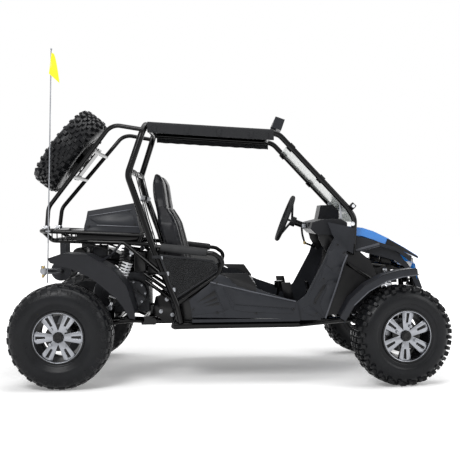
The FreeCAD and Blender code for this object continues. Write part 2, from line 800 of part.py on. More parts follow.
def make_steering():
    housing = cylinder("rack_housing", (RACK_X, -120, RACK_Z), (RACK_X, 120, RACK_Z), 20)
    bore = cylinder("rack_bore", (RACK_X, -200, RACK_Z), (RACK_X, 200, RACK_Z), 9.6)
    foot = box("rack_foot", (RACK_X, 0, 325), (30, 398, 12))
    saddle = box("rack_saddle", (RACK_X, 0, 335), (30, 200, 14))
    node("steering_rack", cut("steering_rack_cut", fuse("rack_weld", [housing, foot, saddle]), [bore, frame_body]))
    rest_shift = -100 * math.sin(math.radians(size("steer_rest")))
    ends = {}
    pieces = [cylinder("rack_rod", (RACK_X, -210 + rest_shift, RACK_Z), (RACK_X, 210 + rest_shift, RACK_Z), 9)]
    for word, side in SIDES.items():
        ends[word] = steered((RACK_X, side * (PIN_Y - ARM_INSET), 322), side)
        inner = Vector(RACK_X, side * 205 + rest_shift, RACK_Z)
        pieces.append(bar(f"tie_rod_{word}", inner, ends[word], "rod_tube"))
        pieces.append(cylinder(f"rod_eye_{word}", ends[word] - Vector(0, 0, 14), ends[word] + Vector(0, 0, 8), 12))
    node("tie_rods", fuse("tie_rods_weld", pieces))


WHEEL_CENTRE = Vector(358, 200, 891)
WHEEL_NORMAL = Vector(0.927, 0, -0.375)
COLUMN_END = Vector(700, 200, 758)


def make_steering_wheel():
    turn = Rotation(Vector(0, 0, 1), WHEEL_NORMAL)
    ring = doc.addObject("Part::Torus", "steering_rim")
    ring.setExpression("Radius1", "Sizes.wheel_rim_radius")
    ring.setExpression("Radius2", "Sizes.wheel_rim_tube / 2")
    ring.Placement = Placement(WHEEL_CENTRE, turn)
    hub = WHEEL_CENTRE + WHEEL_NORMAL * 46
    pieces = [ring, cylinder("steering_hub", hub - WHEEL_NORMAL * 8, hub + WHEEL_NORMAL * 22, 30)]
    for n in range(3):
        angle = math.radians(90 + 120 * n)
        out = turn.multVec(Vector(math.cos(angle), math.sin(angle), 0))
        rim_point = WHEEL_CENTRE + out * size("wheel_rim_radius")
        pieces.append(bar(f"steering_spoke_{n}", hub, rim_point, "rod_tube"))
    node("steering_wheel", fuse("steering_wheel_weld", pieces))
    start = hub + WHEEL_NORMAL * (22 + 2 * GAP)
    column = cylinder("column_tube", start, COLUMN_END, 19)
    welded = fuse("steering_column_weld", [column, cross_column_bracket()])
    node("steering_column", cut("steering_column_cut", welded, [cage]))


def cross_column_bracket():
    return bar("column_stay", (630, 200, 785), (709, 200, 818), "rear_tube")


# Seats
def seat_back_outline():
    return [
        (-318, 400 + GAP),
        (-353, 757),
        (-386, 868),
        (-397, 942),
        (-419, 1030),
        (-422, 1128),
        (-408, 1160),
        (-378, 1152),
        (-366, 1110),
        (-350, 1000),
        (-336, 958),
        (-300, 930),
        (-275, 895),
        (-262, 850),
        (-244, 777),
        (-200, 600),
        (-196, 500),
        (-220, 400 + GAP),
    ]


def make_seats():
    cushion = [(-330, 400), (-300, 500), (-190, 520), (120, 555), (170, 530), (170, 400)]
    cushion = [(x, z + GAP) for x, z in cushion]
    cushions = []
    backs = []
    for word, side in SIDES.items():
        middle = side * size("seat_offset")
        left = middle + size("seat_width") / 2
        cushions.append(side_pad(f"cushion_body_{word}", cushion, left, "seat_width"))
        back = side_pad(f"back_body_{word}", seat_back_outline(), left, "seat_width")
        front_view = [(-200, 400), (-200, 900), (-150, 960), (-100, 985), (-95, 1140), (-60, 1165)]
        front_view += [(-x, z) for x, z in reversed(front_view)]
        mask, sketch = sketch_body(f"back_mask_{word}", front_view)
        pad = mask.newObject("PartDesign::Pad", f"back_mask_pad_{word}")
        pad.Profile = sketch
        pad.Length = 500
        facing = Rotation(Vector(0, 0, 1), 90).multiply(Rotation(Vector(1, 0, 0), 90))
        mask.Placement = Placement(Vector(-600, middle, 0), facing)
        shaped = common(f"back_shape_{word}", [back, mask])
        backs.append(cut(f"back_cut_{word}", shaped, [cushions[-1]]))
    node("seat_cushions", compound("seat_cushion_pair", cushions))
    node("seat_backs", compound("seat_back_pair", backs))


def make_seat_belts(tools):
    """Two straps for each seat, from the bar behind the headrest down to the bar under it."""
    bend = size("pillar_tube") / 2 + GAP
    line = [
        (BELT_BAR_X - 4, BELT_BAR_Z + bend + 3),
        (BELT_BAR_X + 14, BELT_BAR_Z + bend + 2),
        (BELT_BAR_X + 21, BELT_BAR_Z),
        (-469, 956),
        (-456, 900),
        (-408, 740),
    ]
    straps = []
    for n, step in enumerate([-60, 60]):
        for word, side in SIDES.items():
            middle = side * size("seat_offset") + step
            strap = side_pad(f"belt_{word}_{n}", band(line, 3), middle + 24, 48)
            straps.append(strap)
    node("seat_belts", cut("seat_belts_cut", compound("seat_belt_set", straps), tools))


# Floor, panels and covers
def make_floor(frame):
    plan = [(-280, -440), (380, -430), (540, -330), (540, 330), (380, 430), (-280, 440)]
    plate = plan_pad("floor_plate", plan, RAIL_Z + size("frame_tube") / 2, size("panel_wall"))
    seat_box = box("seat_box", (-80, 0, 367), (420, 830, 66))
    foot_plate = box("foot_plate", (300, -230, RAIL_Z + 24), (220, 300, 6))
    line = [(512, 333), (570, 532), (626, 669), (634, 715)]
    toe = strip("toe_plate", line, -size("panel_wall"), 470)
    node("floor_pan", cut("floor_cut", fuse("floor_weld", [plate, seat_box, foot_plate, toe]), [frame]))


ROCKER_OUTLINE = [
    (-199, 360),
    (-202, 390),
    (-212, 455),
    (-93, 550),
    (-75, 568),
    (12, 575),
    (39, 570),
    (189, 499),
    (372, 436),
    (388, 346),
]
GUARD_OUTLINE = [
    (389, 346),
    (373, 436),
    (420, 470),
    (530, 671),
    (544, 716),
    (587, 792),
    (651, 715),
    (638, 669),
    (583, 532),
    (527, 346),
]


def flat_panel(name, outline, y_outer, side):
    """A panel of the wall thickness with its outer face at y_outer."""
    wall = size("panel_wall")
    left = y_outer if side > 0 else -y_outer + wall
    return side_pad(name, outline, left, "panel_wall")


def groove(name, start, end, y_outer, side, width=5, depth=2.4):
    """A straight slot in the outer face of a side panel."""
    start = Vector(start[0], 0, start[1])
    end = Vector(end[0], 0, end[1])
    middle = (start + end) * 0.5 + Vector(0, side * y_outer, 0)
    turn = Rotation(Vector(1, 0, 0), end - start)
    return box(name, middle, ((end - start).Length, 2 * depth, width), turn)


def make_side_panels(tools):
    def rocker(name, side):
        face = BELT_Y + 12
        skin = flat_panel(name + "_skin", ROCKER_OUTLINE, face, side)
        lip = box(name + "_lip", (94, side * 475, 340), (586, 54, 16))
        crease = [(-95, 530), (30, 543), (190, 470), (360, 418), (368, 402), (192, 452), (30, 526), (-92, 514)]
        rib = flat_panel(name + "_rib", crease, face + size("panel_wall"), side)
        joined = fuse(name + "_weld", [skin, lip, rib])
        lines = [((-186, 468), (-148, 390)), ((-168, 482), (-122, 390)), ((-148, 496), (-96, 390))]
        slots = [groove(f"{name}_slot_{n}", a, b, face, side, 9) for n, (a, b) in enumerate(lines)]
        slots.append(groove(name + "_seam", (-80, 500), (-20, 366), face, side))
        return cut(name, joined, slots)

    def guard(name, side):
        face = BELT_Y - 6
        skin = flat_panel(name + "_skin", GUARD_OUTLINE, face, side)
        lip = box(name + "_lip", (446, side * 450, 341 + GAP), (114, 68, 12))
        ridge = [(556, 712), (587, 780), (640, 716), (622, 668), (566, 520), (524, 500), (600, 672)]
        rib = flat_panel(name + "_rib", ridge, face + size("panel_wall"), side)
        joined = fuse(name + "_weld", [skin, lip, rib])
        seam = groove(name + "_seam", (438, 470), (540, 668), face, side)
        return cut(name, joined, [seam])

    rockers = cut("rocker_cut", pair("rocker", rocker), tools)
    node("side_panels", compound("side_panel_set", [rockers, pair("guard", guard)]))


def make_side_bars(tools):
    line = [(-412, 437, 748), (-75, BELT_Y, 706), (-24, BELT_Y, 668), (-52, BELT_Y, 590), (-284, 478, 430)]
    tubes = tube_pair("side_bar", line, "rear_tube", "tight_bend")
    pads = [
        bar(f"side_pad_{word}", (-370, side * 453, 743), (-110, side * 486, 711), "pad_tube")
        for word, side in SIDES.items()
    ]
    rods = compound("side_bar_rods", tubes)
    node("side_bars", cut("side_bars_cut", rods, tools))
    node("side_bar_pads", cut("side_pads_cut", compound("side_pad_pair", pads), [rods] + tools))

    def net(name, side):
        outline = [(-372, 700), (-80, 665), (-52, 610), (-290, 462)]
        left = BELT_Y - 12.8 if side > 0 else -BELT_Y + 15.8
        return side_pad(name, outline, left, 3)

    node("side_nets", cut("side_nets_cut", pair("net", net), [rods] + tools))


COVER_OUTLINE = [
    (-806, 835),
    (-808, 850),
    (-790, 948),
    (-530, 990),
    (-518, 945),
    (-497, 849),
    (-492, 822),
]
COVER_FRONT = [(-324, 780), (-324, 866), (-300, 900), (-286, 1000), (286, 1000), (300, 900), (324, 866), (324, 780)]


def make_engine_cover(tools):
    wall = size("panel_wall")
    shaped = common(
        "cover_outer",
        [side_pad("cover_profile", COVER_OUTLINE, 330, 660), front_pad("cover_section", COVER_FRONT, -820, 400)],
    )
    inner_line = [(-802, 824), (-803, 850), (-786, 943), (-533, 985), (-522, 943), (-501, 848), (-496, 812)]
    inner_front = [(y * (1 - wall / 324), z - wall) for y, z in COVER_FRONT]
    inner = common(
        "cover_inner",
        [side_pad("cover_inner_profile", inner_line, 330, 660), front_pad("cover_hollow", inner_front, -820, 400)],
    )
    slots = []
    for n, z in enumerate([925, 905]):
        for word, side in SIDES.items():
            ends = ((-768, z - 3), (-560, z + 28))
            slots.append(groove(f"cover_groove_{n}_{word}", *ends, 300, side, 6, 6))
    node("engine_cover", cut("engine_cover_cut", shaped, [inner] + tools + slots))


def make_engine():
    block = box("engine_body", (-590, 0, 475), (260 - 2 * GAP, 270, 230))
    fins = [(0, 0.0), (0, 50)]
    for n in range(8):
        low = 34 + n * 17
        fins += [(low, 50), (low, 66), (low + 7, 66), (low + 7, 50)]
    fins += [(175, 50), (175, 0.0)]
    lean = Rotation(Vector(1, 0, 0), Vector(30, 0, 175))
    barrel = spun("engine_barrel", fins, Placement(Vector(-600, 40, 560), lean))
    node("engine", fuse("engine_weld", [block, barrel]))
    can = cylinder("muffler_can", (-985, -60, 600), (-985, 240, 600), 60)
    hangers = [box(f"muffler_hanger_{n}", (-985, y, 725), (30, 6, 140)) for n, y in enumerate([0, 180])]
    bar_line = cross_tube("muffler_bar", -985, 790, 300, "rod_tube")
    node("muffler", cut("muffler_cut", fuse("muffler_weld", [can, bar_line] + hangers), [rack]))


HOOD_LINE = shifted([(-210, 842), (-137, 833), (-72, 812), (17, 769), (109, 717), (190, 666)], FRONT_X)
HOOD_EDGE = shifted([(190, 652), (109, 690), (17, 724), (-72, 764), (-137, 786), (-210, 794)], FRONT_X)


def make_hood(tools):
    skin = strip("hood_skin", HOOD_LINE, size("panel_wall"), 320)
    plan = shifted([(-220, -318), (200, -225), (200, 225), (-220, 318)], FRONT_X)
    taper = plan_pad("hood_plan", plan, 600, 300)
    reach = 1.03 * size("panel_wall")
    inside = [(-240, -322 + reach), (220, -221 + reach), (220, 221 - reach), (-240, 322 - reach)]
    depth = common("hood_depth", [side_pad("hood_side_shape", HOOD_LINE + HOOD_EDGE, 320, 640), taper])
    rim = cut("hood_rim", depth, [plan_pad("hood_hollow", shifted(inside, FRONT_X), 600, 300)])
    node("hood", cut("hood_cut", fuse("hood_weld", [common("hood_shape", [skin, taper]), rim]), tools))
    nose_line = shifted([(162, 655), (168, 620), (182, 573), (198, 529), (214, 485), (206, 470)], FRONT_X)
    shell = strip("nose_skin", nose_line, 2 * size("panel_wall"), 215)

    def cheek(name, side):
        outline = [(66, 739), (82, 730), (82, 690), (99, 632), (136, 596), (166, 604), (181, 573), (197, 529)]
        outline += [(212, 486), (180, 485), (158, 540), (132, 580), (92, 626), (66, 690)]
        return flat_panel(name, shifted(outline, FRONT_X), 215, side)

    cheeks = [cheek(f"nose_cheek_{word}", side) for word, side in SIDES.items()]
    window = [(-150, 496), (150, 496), (170, 560), (130, 622), (-130, 622), (-170, 560)]
    opening = front_pad("nose_window", window, FRONT_X + 150, 100)
    nose = cut("nose_cut", fuse("nose_weld", [shell] + cheeks), [nodes["hood"], opening, frame_body])
    node("nose", nose)
    slats = []
    for n, z in enumerate([514, 540, 566, 592]):
        x = FRONT_X + 214 - (z - 485) * 0.364
        slats.append(box(f"grille_slat_{n}", (x - 7, 0, z), (8, 336, 9)))
    for n, y in enumerate([-110, 0, 110]):
        slats.append(bar(f"grille_bar_{n}", (FRONT_X + 203, y, 488), (FRONT_X + 155, y, 628), "grille_bar"))
    node("grille", cut("grille_cut", fuse("grille_weld", slats), [nose, nodes["hood"], frame_body]))

    def band_panel(name, side):
        outline = [(-240, 792), (-184, 792), (-100, 770), (-14, 741), (48, 722), (100, 692), (140, 670)]
        outline += [(136, 637), (51, 700), (-44, 730), (-200, 690), (-228, 740)]
        return flat_panel(name, shifted(outline, FRONT_X), 300, side)

    def arch_liner(name, side):
        outline = [(-120, 735), (-44, 748), (20, 722), (51, 706), (80, 684), (104, 646), (124, 622), (140, 596)]
        outline += [(128, 586), (95, 612), (40, 648), (-60, 676), (-120, 690)]
        return flat_panel(name, shifted(outline, FRONT_X), 272, side)

    lip_line = shifted([(-200, 690), (-44, 730), (51, 700), (134, 640)], FRONT_X)

    def side_shape(name, side):
        lip = strip(name + "_lip", lip_line, -size("panel_wall"), 22)
        lip.Placement.Base = lip.Placement.Base + Vector(0, side * 291, 0)
        return fuse(name, [band_panel(name + "_skin", side), arch_liner(name + "_liner", side), lip])

    node("hood_sides", cut("hood_sides_cut", pair("hood_side", side_shape), tools + [nodes["hood"]]))

    def lamp(name, side):
        outline = shifted([(84, 694), (140, 666), (153, 640), (138, 606), (104, 636)], FRONT_X)
        left = 269 if side > 0 else -150
        return side_pad(name, outline, left, 119)

    around = [nodes["hood"], nodes["nose"], nodes["hood_sides"], frame_body]
    node("headlights", cut("headlights_cut", pair("headlight", lamp), around))


def make_dashboard(tools):
    outline = [(470, 830), (500, 800), (640, 790), (676, 830), (676, 864), (640, 884), (548, 884), (480, 868)]
    outer = side_pad("dash_outer", outline, 310, 620)
    inner = box("dash_inner", (600, 0, 838), (120, 612, 76))
    hood_outline = [(548, 880), (567, 968), (640, 968), (676, 935), (676, 860)]
    binnacle = side_pad("dash_binnacle", hood_outline, 310, 230)
    node("dashboard", cut("dashboard_cut", fuse("dash_weld", [outer, binnacle]), [inner] + tools))

    def cowl(name, side):
        outline = [(560, 868), (660, 846), (712, 832), (700, 690), (651, 715), (587, 792)]
        skin = flat_panel(name + "_skin", outline, CAGE_Y + 16 + GAP + size("panel_wall"), side)
        clip = box(name + "_clip", (700, side * 350, 765), (24, 24, 40))
        return fuse(name, [skin, clip])

    node("cowl_sides", cut("cowl_cut", pair("cowl", cowl), tools))


def make_fenders():
    def rear(name, side):
        line = [(-60, 696), (20, 722), (150, 712), (280, 640), (360, 540), (402, 400)]
        line = shifted(line, REAR_X)
        blade = strip(name + "_blade", line, size("panel_wall"), 120)
        blade.Placement.Base = blade.Placement.Base + Vector(0, side * 500, 0)
        stay_line = [(-600, side * 332, 764), (-650, side * 360, 700), (-690, side * 560, 672)]
        stay = tube(name + "_stay", stay_line, "rod_tube", "tight_bend")
        skirt = [(-60, 696), (20, 722), (150, 712), (280, 640), (360, 540), (402, 400), (402, 367), (372, 372)]
        skirt += [(340, 430), (310, 470), (218, 551), (165, 592), (60, 640), (-46, 672)]
        face = side_pad(name + "_skirt", shifted(skirt, REAR_X), 618 if side > 0 else -613, 5)
        return fuse(name, [blade, stay, face])

    def front(name, side):
        line = [(-310, 372), (-257, 460), (-178, 532), (-84, 584), (0, 606), (85, 616)]
        line = shifted(line, FRONT_X)
        blade = strip(name + "_blade", line, size("panel_wall"), 95)
        blade.Placement.Base = blade.Placement.Base + Vector(0, side * 600, 0)
        rim = strip(name + "_rim", line, -8, 2)
        rim.Placement.Base = rim.Placement.Base + Vector(0, side * 693, 0)
        return fuse(name, [blade, rim])

    node("rear_fenders", cut("rear_fenders_cut", pair("rear_fender", rear), [rack]))
    node("front_fenders", cut("front_fenders_cut", pair("front_fender", front), [frame_body]))


def make_roof(tools):
    top = [(-440, ROOF_Z + 16.5), (270, ROOF_Z - 37), (270, ROOF_Z - 37 + 6), (-440, ROOF_Z + 22.5)]
    skin = side_pad("canopy_top", top, CAGE_Y + 24, 2 * CAGE_Y + 48)
    drop = [(-440, ROOF_Z - 22), (270, ROOF_Z - 76), (270, ROOF_Z - 31), (-440, ROOF_Z + 22)]
    sides = [
        side_pad("canopy_side_left", drop, CAGE_Y + 24, "canopy_wall"),
        side_pad("canopy_side_right", drop, -CAGE_Y - 18, "canopy_wall"),
    ]
    node("roof_canopy", cut("canopy_cut", fuse("canopy_weld", [skin] + sides), tools))
    lamp = box("light_bar_body", (300, 0, 1436), (56, 460, 66), Rotation(Vector(0, 1, 0), 20))
    feet = [box(f"light_foot_{n}", (272, y, 1398), (30, 30, 46)) for n, y in enumerate([-180, 180])]
    turn = Rotation(Vector(0, 1, 0), 20)
    face = Vector(300, 0, 1436) + turn.multVec(Vector(28, 0, 0))
    recesses = [box(f"light_recess_{n}", face + Vector(0, y, 0), (10, 104, 50), turn) for n, y in enumerate([-168, -56, 56, 168])]
    item = fuse("light_bar_weld", [lamp] + feet)
    node("light_bar", cut("light_bar_cut", item, recesses + tools + [nodes["roof_canopy"]]))


def make_windshield(tools):
    line = [(345, 1306), (664, 958), (694, 915), (694, 868)]
    sheet_body = strip("windshield_sheet", line, -size("glass_wall"), CAGE_Y - 18)
    node("windshield", cut("windshield_cut", sheet_body, tools))
    items = []
    for word, side in SIDES.items():
        for n, (x, z) in enumerate([(362, 1289), (526, 1111)]):
            ring = cylinder(f"clamp_{word}_{n}", (x - 12, side * CAGE_Y, z + 13), (x + 12, side * CAGE_Y, z - 13), 22)
            tab = box(f"clamp_tab_{word}_{n}", (x, side * (CAGE_Y - 26), z), (24, 30, 16), Rotation(Vector(0, 1, 0), 47))
            items.append(fuse(f"clamp_weld_{word}_{n}", [ring, tab]))
    joined = compound("clamp_set", items)
    node("windshield_clamps", cut("clamps_cut", joined, tools + [nodes["windshield"]]))


def make_controls():
    pedals = []
    for n, y in enumerate([140, 240]):
        stem = bar(f"pedal_stem_{n}", (470, y, 334), (500, y, 470), "rod_tube")
        pad = box(f"pedal_pad_{n}", (490, y, 470), (14, 60, 70), Rotation(Vector(0, 1, 0), -15))
        pedals.append(fuse(f"pedal_{n}", [stem, pad]))
    lever = bar("lever_rod", (280, 0, 334), (300, 0, 480), "rod_tube")
    knob = cylinder("lever_knob", (300, 0, 480), (300, 0, 520), 24)
    stick = fuse("shift_lever_weld", [lever, knob])
    node("controls", cut("controls_cut", compound("control_set", pedals + [stick]), [nodes["floor_pan"]]))


frame_body = make_lower_frame()
hoop = make_main_hoop(frame_body)
cage = make_cage_front(frame_body, hoop)
rear_cage = make_rear_cage(hoop)
rack = make_rear_rack(hoop, rear_cage)
make_wheels()
make_spare_mount(make_spare(), [rear_cage])
make_flag([rack])
make_swing_arm(frame_body)
make_rear_axle()
make_rear_shocks([nodes["swing_arm"], hoop, rack])
make_front_arms(frame_body)
make_front_shocks([nodes["front_arms"], frame_body])
make_knuckles()
make_front_discs()
make_steering()
make_steering_wheel()
make_seats()
make_seat_belts([rear_cage, nodes["seat_backs"]])
make_floor(frame_body)
make_side_bars([hoop])
make_side_panels([nodes["side_bars"]])
make_engine_cover([hoop, rack, rear_cage])
make_engine()
make_dashboard([cage, nodes["steering_column"]])
make_hood([frame_body, cage, nodes["dashboard"]])
make_fenders()
make_roof([hoop, cage])
make_windshield([cage])
make_controls()

doc.recompute()
failed = [item for item in doc.Objects if "Invalid" in item.State or "Error" in item.State]
if failed:
    raise RuntimeError(", ".join(f"{item.Name} ({item.Label}): {item.State}" for item in failed))
broken = []
for label, item in nodes.items():
    shape = item.Shape
    if shape.isNull() or not shape.isValid():
        broken.append(label)
if broken:
    raise RuntimeError("no valid shape: " + ", ".join(broken))
for label, item in nodes.items():
    item.Shape.exportStep(f"parts/{label}.step")
    print(label, len(item.Shape.Solids), round(item.Shape.Volume / 1e3))
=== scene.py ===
import json
import math

import bmesh
import bpy
from mathutils import Matrix, Vector


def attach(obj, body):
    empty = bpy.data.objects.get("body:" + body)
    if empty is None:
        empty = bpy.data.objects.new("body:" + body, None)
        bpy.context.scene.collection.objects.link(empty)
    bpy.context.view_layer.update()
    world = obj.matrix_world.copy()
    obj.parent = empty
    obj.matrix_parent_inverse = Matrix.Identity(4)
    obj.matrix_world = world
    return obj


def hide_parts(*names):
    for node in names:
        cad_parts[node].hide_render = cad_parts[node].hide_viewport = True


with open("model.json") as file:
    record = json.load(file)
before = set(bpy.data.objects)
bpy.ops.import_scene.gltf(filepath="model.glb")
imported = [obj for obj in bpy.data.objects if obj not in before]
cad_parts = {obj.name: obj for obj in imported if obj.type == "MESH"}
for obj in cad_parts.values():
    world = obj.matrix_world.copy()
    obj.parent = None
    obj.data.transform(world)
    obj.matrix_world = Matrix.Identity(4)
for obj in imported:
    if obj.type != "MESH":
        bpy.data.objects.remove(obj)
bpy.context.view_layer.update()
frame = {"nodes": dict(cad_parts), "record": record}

bl_info = {
    "name": "Off-road buggy",
    "version": (1, 0, 0),
    "blender": (4, 5, 0),
    "location": "3D View > Sidebar > Buggy",
    "description": "Wheels, soft parts, finishes and studio for a two-seat off-road buggy",
    "category": "Object",
}

NODES = frame["nodes"]
SIDES = {"left": 1, "right": -1}


# Selecting and editing
def deselect():
    """Leave edit mode with nothing selected."""
    if bpy.context.object and bpy.context.object.mode != "OBJECT":
        bpy.ops.object.mode_set(mode="OBJECT")
    bpy.ops.object.select_all(action="DESELECT")


def only(piece):
    """Make one piece the active and the only selected object."""
    deselect()
    piece.select_set(True)
    bpy.context.view_layer.objects.active = piece
    return piece


def edit(piece):
    """Edit one piece with all of it selected."""
    only(piece)
    bpy.ops.object.mode_set(mode="EDIT")
    bpy.ops.mesh.select_all(action="SELECT")


def leave_edit():
    bpy.ops.object.mode_set(mode="OBJECT")


def pick_faces(piece, test=lambda middle, normal: True):
    """In edit mode, select the faces whose middle and normal pass a test."""
    only(piece)
    bpy.ops.object.mode_set(mode="EDIT")
    bpy.ops.mesh.select_mode(type="FACE")
    bpy.ops.mesh.select_all(action="DESELECT")
    mesh = bmesh.from_edit_mesh(piece.data)
    for face in mesh.faces:
        face.select_set(test(face.calc_center_median(), face.normal))
    bmesh.update_edit_mesh(piece.data)


def extrude(x, y, z):
    """Extrude what is selected in edit mode."""
    bpy.ops.mesh.extrude_region_move(TRANSFORM_OT_translate={"value": (x, y, z)})


def subdivided(piece, cuts):
    """Cut every face of a piece into a grid."""
    edit(piece)
    bpy.ops.mesh.subdivide(number_cuts=cuts)
    leave_edit()
    return piece


def face_out(piece):
    """Turn every face outward."""
    edit(piece)
    bpy.ops.mesh.normals_make_consistent(inside=False)
    leave_edit()
    return piece


# Finishing and placing
def modify(piece, kind, **settings):
    """Add a modifier and apply it."""
    only(piece)
    modifier = piece.modifiers.new(kind.title(), kind)
    for key, value in settings.items():
        setattr(modifier, key, value)
    bpy.ops.object.modifier_apply(modifier=modifier.name)
    return piece


def smooth(piece, angle=35):
    """Shade smooth apart from corners sharper than an angle in degrees."""
    only(piece)
    bpy.ops.object.shade_smooth_by_angle(angle=math.radians(angle))
    return piece


def rounded(piece, width, segments=2, **settings):
    """Bevel the sharp edges."""
    return modify(piece, "BEVEL", width=width, segments=segments, limit_method="ANGLE", **settings)


def bevelled(piece, width, segments=2):
    """Bevel the edges sharper than 40 degrees and shade smooth."""
    return smooth(rounded(piece, width, segments, angle_limit=math.radians(40)))


def moved(piece, matrix):
    """Move the mesh and leave the object at the origin."""
    piece.data.transform(matrix)
    if matrix.determinant() < 0:
        face_out(piece)
    return piece


def lifted(piece, height):
    """Move the mesh along Z."""
    return moved(piece, Matrix.Translation((0, 0, height)))


def facing(direction):
    """The turn that brings Z into a direction."""
    return Vector(direction).to_track_quat("Z", "Y").to_matrix().to_4x4()


def named(piece, name):
    piece.name = name
    piece.data.name = name
    return piece


def copy_of(piece, name, matrix):
    """A copy with its own mesh, moved to its place."""
    made = piece.copy()
    made.data = piece.data.copy()
    bpy.context.scene.collection.objects.link(made)
    return moved(named(made, name), matrix)


def joined(pieces, name):
    """Several pieces as one object; materials stay with their faces."""
    deselect()
    for piece in pieces:
        piece.select_set(True)
    bpy.context.view_layer.objects.active = pieces[0]
    if len(pieces) > 1:
        bpy.ops.object.join()
    return named(bpy.context.object, name)


def coat(piece, *names):
    """Give a piece its finishes, the first one on every face."""
    piece.data.materials.clear()
    for name in names:
        piece.data.materials.append(finishes()[name])
    return piece


def settle(piece, node=None, body="chassis"):
    """Carry a piece on its body, in place of a solid where one is named."""
    if node:
        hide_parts(node)
    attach(piece, body)
    return piece


# Basic forms
def primitive(kind, name, **settings):
    """A primitive at its place, with the place in its mesh."""
    deselect()
    getattr(bpy.ops.mesh, f"primitive_{kind}_add")(**settings)
    piece = named(bpy.context.object, name)
    bpy.ops.object.transform_apply(location=True, rotation=True, scale=True)
    return piece


def disc(name, finish, radius, depth, vertices=48):
    """A round or many-sided disc about Z."""
    return coat(primitive("cylinder", name, vertices=vertices, radius=radius, depth=depth), finish)


def turned(name, finish, profile, segments=72):
    """A ring whose section follows a closed outline of radius and axial place, about Z."""
    count = len(profile)
    rounds = {"major_segments": segments, "minor_segments": count, "major_radius": 1, "minor_radius": 0.3}
    piece = primitive("torus", name, **rounds)
    for vertex in piece.data.vertices:
        major, minor = divmod(vertex.index, count)
        angle = 2 * math.pi * major / segments
        radius, height = profile[minor]
        vertex.co = (radius * math.cos(angle), radius * math.sin(angle), height)
    return coat(smooth(face_out(piece), 30), finish)


def rod(name, finish, start, end, radius, vertices=24, bevel=0.0):
    """A round bar between two points."""
    start = Vector(start)
    end = Vector(end)
    piece = disc(name, finish, radius, (end - start).length, vertices)
    moved(piece, Matrix.Translation((start + end) / 2) @ facing(end - start))
    return bevelled(piece, bevel or radius * 0.15)


def block(name, finish, centre, lengths, bevel=0.002, turn=Matrix()):
    """A box with rounded edges about its own centre."""
    piece = primitive("cube", name, size=1)
    piece.data.transform(Matrix.Diagonal((*lengths, 1)))
    bevelled(piece, bevel, 3)
    return coat(moved(piece, Matrix.Translation(centre) @ turn.to_4x4()), finish)


def outlined(name, outline, y):
    """A flat face of an outline in X and Z, at y."""
    piece = primitive("circle", name, vertices=len(outline), radius=1, fill_type="NGON")
    for vertex, (x, z) in zip(piece.data.vertices, outline):
        vertex.co = (x, y, z)
    return piece


def thickened(piece, y, wall):
    """Give a face at y a wall towards the vehicle's middle."""
    pick_faces(piece)
    extrude(0, -wall if y > 0 else wall, 0)
    leave_edit()
    return face_out(piece)


def plate(name, finish, outline, y, wall, bevel=0.0008):
    """A flat plate of an outline in X and Z, its outer face at y."""
    return coat(bevelled(thickened(outlined(name, outline, y), y, wall), bevel), finish)


def facet(name, finish, outline, crest, y, rise, wall=0.0035):
    """A raised panel of an outline in X and Z whose face slopes up to one crest."""
    piece = outlined(name, outline, y)
    pick_faces(piece)
    bpy.ops.mesh.poke()
    leave_edit()
    piece.data.vertices[len(outline)].co = (crest[0], y + math.copysign(rise, y), crest[1])
    return coat(bevelled(thickened(piece, y, wall), 0.001), finish)


def banded(name, finish, line, y, width, wall):
    """A raised band along a line in X and Z, on a face at y."""
    upper = []
    lower = []
    for n, (x, z) in enumerate(line):
        before = Vector(line[max(n - 1, 0)])
        after = Vector(line[min(n + 1, len(line) - 1)])
        along = (after - before).normalized() * width / 2
        upper.append((x - along.y, z + along.x))
        lower.append((x + along.y, z - along.x))
    return plate(name, finish, upper + lower[::-1], y, wall, wall * 0.3)


def swept_in(piece, side, half_width):
    """Lay a flat side plate on a wall whose distance from the middle changes with X and Z."""
    for vertex in piece.data.vertices:
        vertex.co.y = side * (abs(vertex.co.y) + half_width(vertex.co.x, vertex.co.z))
    return piece


def hose(name, finish, points, radius):
    """A hose or bent rod on a smooth path through a few points."""
    deselect()
    bpy.ops.curve.primitive_nurbs_path_add()
    piece = bpy.context.object
    piece.name = name
    curve = piece.data
    curve.splines.clear()
    spline = curve.splines.new("NURBS")
    spline.points.add(len(points) - 1)
    for place, point in zip(spline.points, points):
        place.co = (*point, 1)
    spline.order_u = 3
    spline.use_endpoint_u = True
    curve.bevel_depth = radius
    curve.bevel_resolution = 3
    curve.use_fill_caps = True
    bpy.ops.object.convert(target="MESH")
    bpy.ops.object.transform_apply(location=True, rotation=True, scale=True)
    return coat(smooth(face_out(bpy.context.object), 60), finish)


def bolt(name, finish, place, outward, radius=0.008):
    """A low hexagon head on its washer."""
    washer = disc(name, finish, radius * 1.3, 0.002, 24)
    head = bevelled(lifted(disc(name, finish, radius, 0.006, 6), 0.004), 0.001)
    return moved(joined([washer, head], name), Matrix.Translation(place) @ facing(outward))


def shaped_block(name, cuts, shape):
    """A divided cube whose points from 0 to 1 are placed by a rule."""
    piece = subdivided(primitive("cube", name, size=1, location=(0.5, 0.5, 0.5)), cuts)
    for vertex in piece.data.vertices:
        vertex.co = shape(*vertex.co)
    return face_out(piece)


def sheet_grid(name, finish, across, along, shape, wall, offset=0):
    """A divided plane whose points from 0 to 1 are placed by a rule, with a wall."""
    cuts = {"x_subdivisions": across, "y_subdivisions": along}
    piece = primitive("grid", name, size=1, location=(0.5, 0.5, 0), **cuts)
    for vertex in piece.data.vertices:
        vertex.co = shape(vertex.co.x, vertex.co.y)
    modify(smooth(piece, 60), "SOLIDIFY", thickness=wall, offset=offset)
    return coat(smooth(piece, 60), finish)


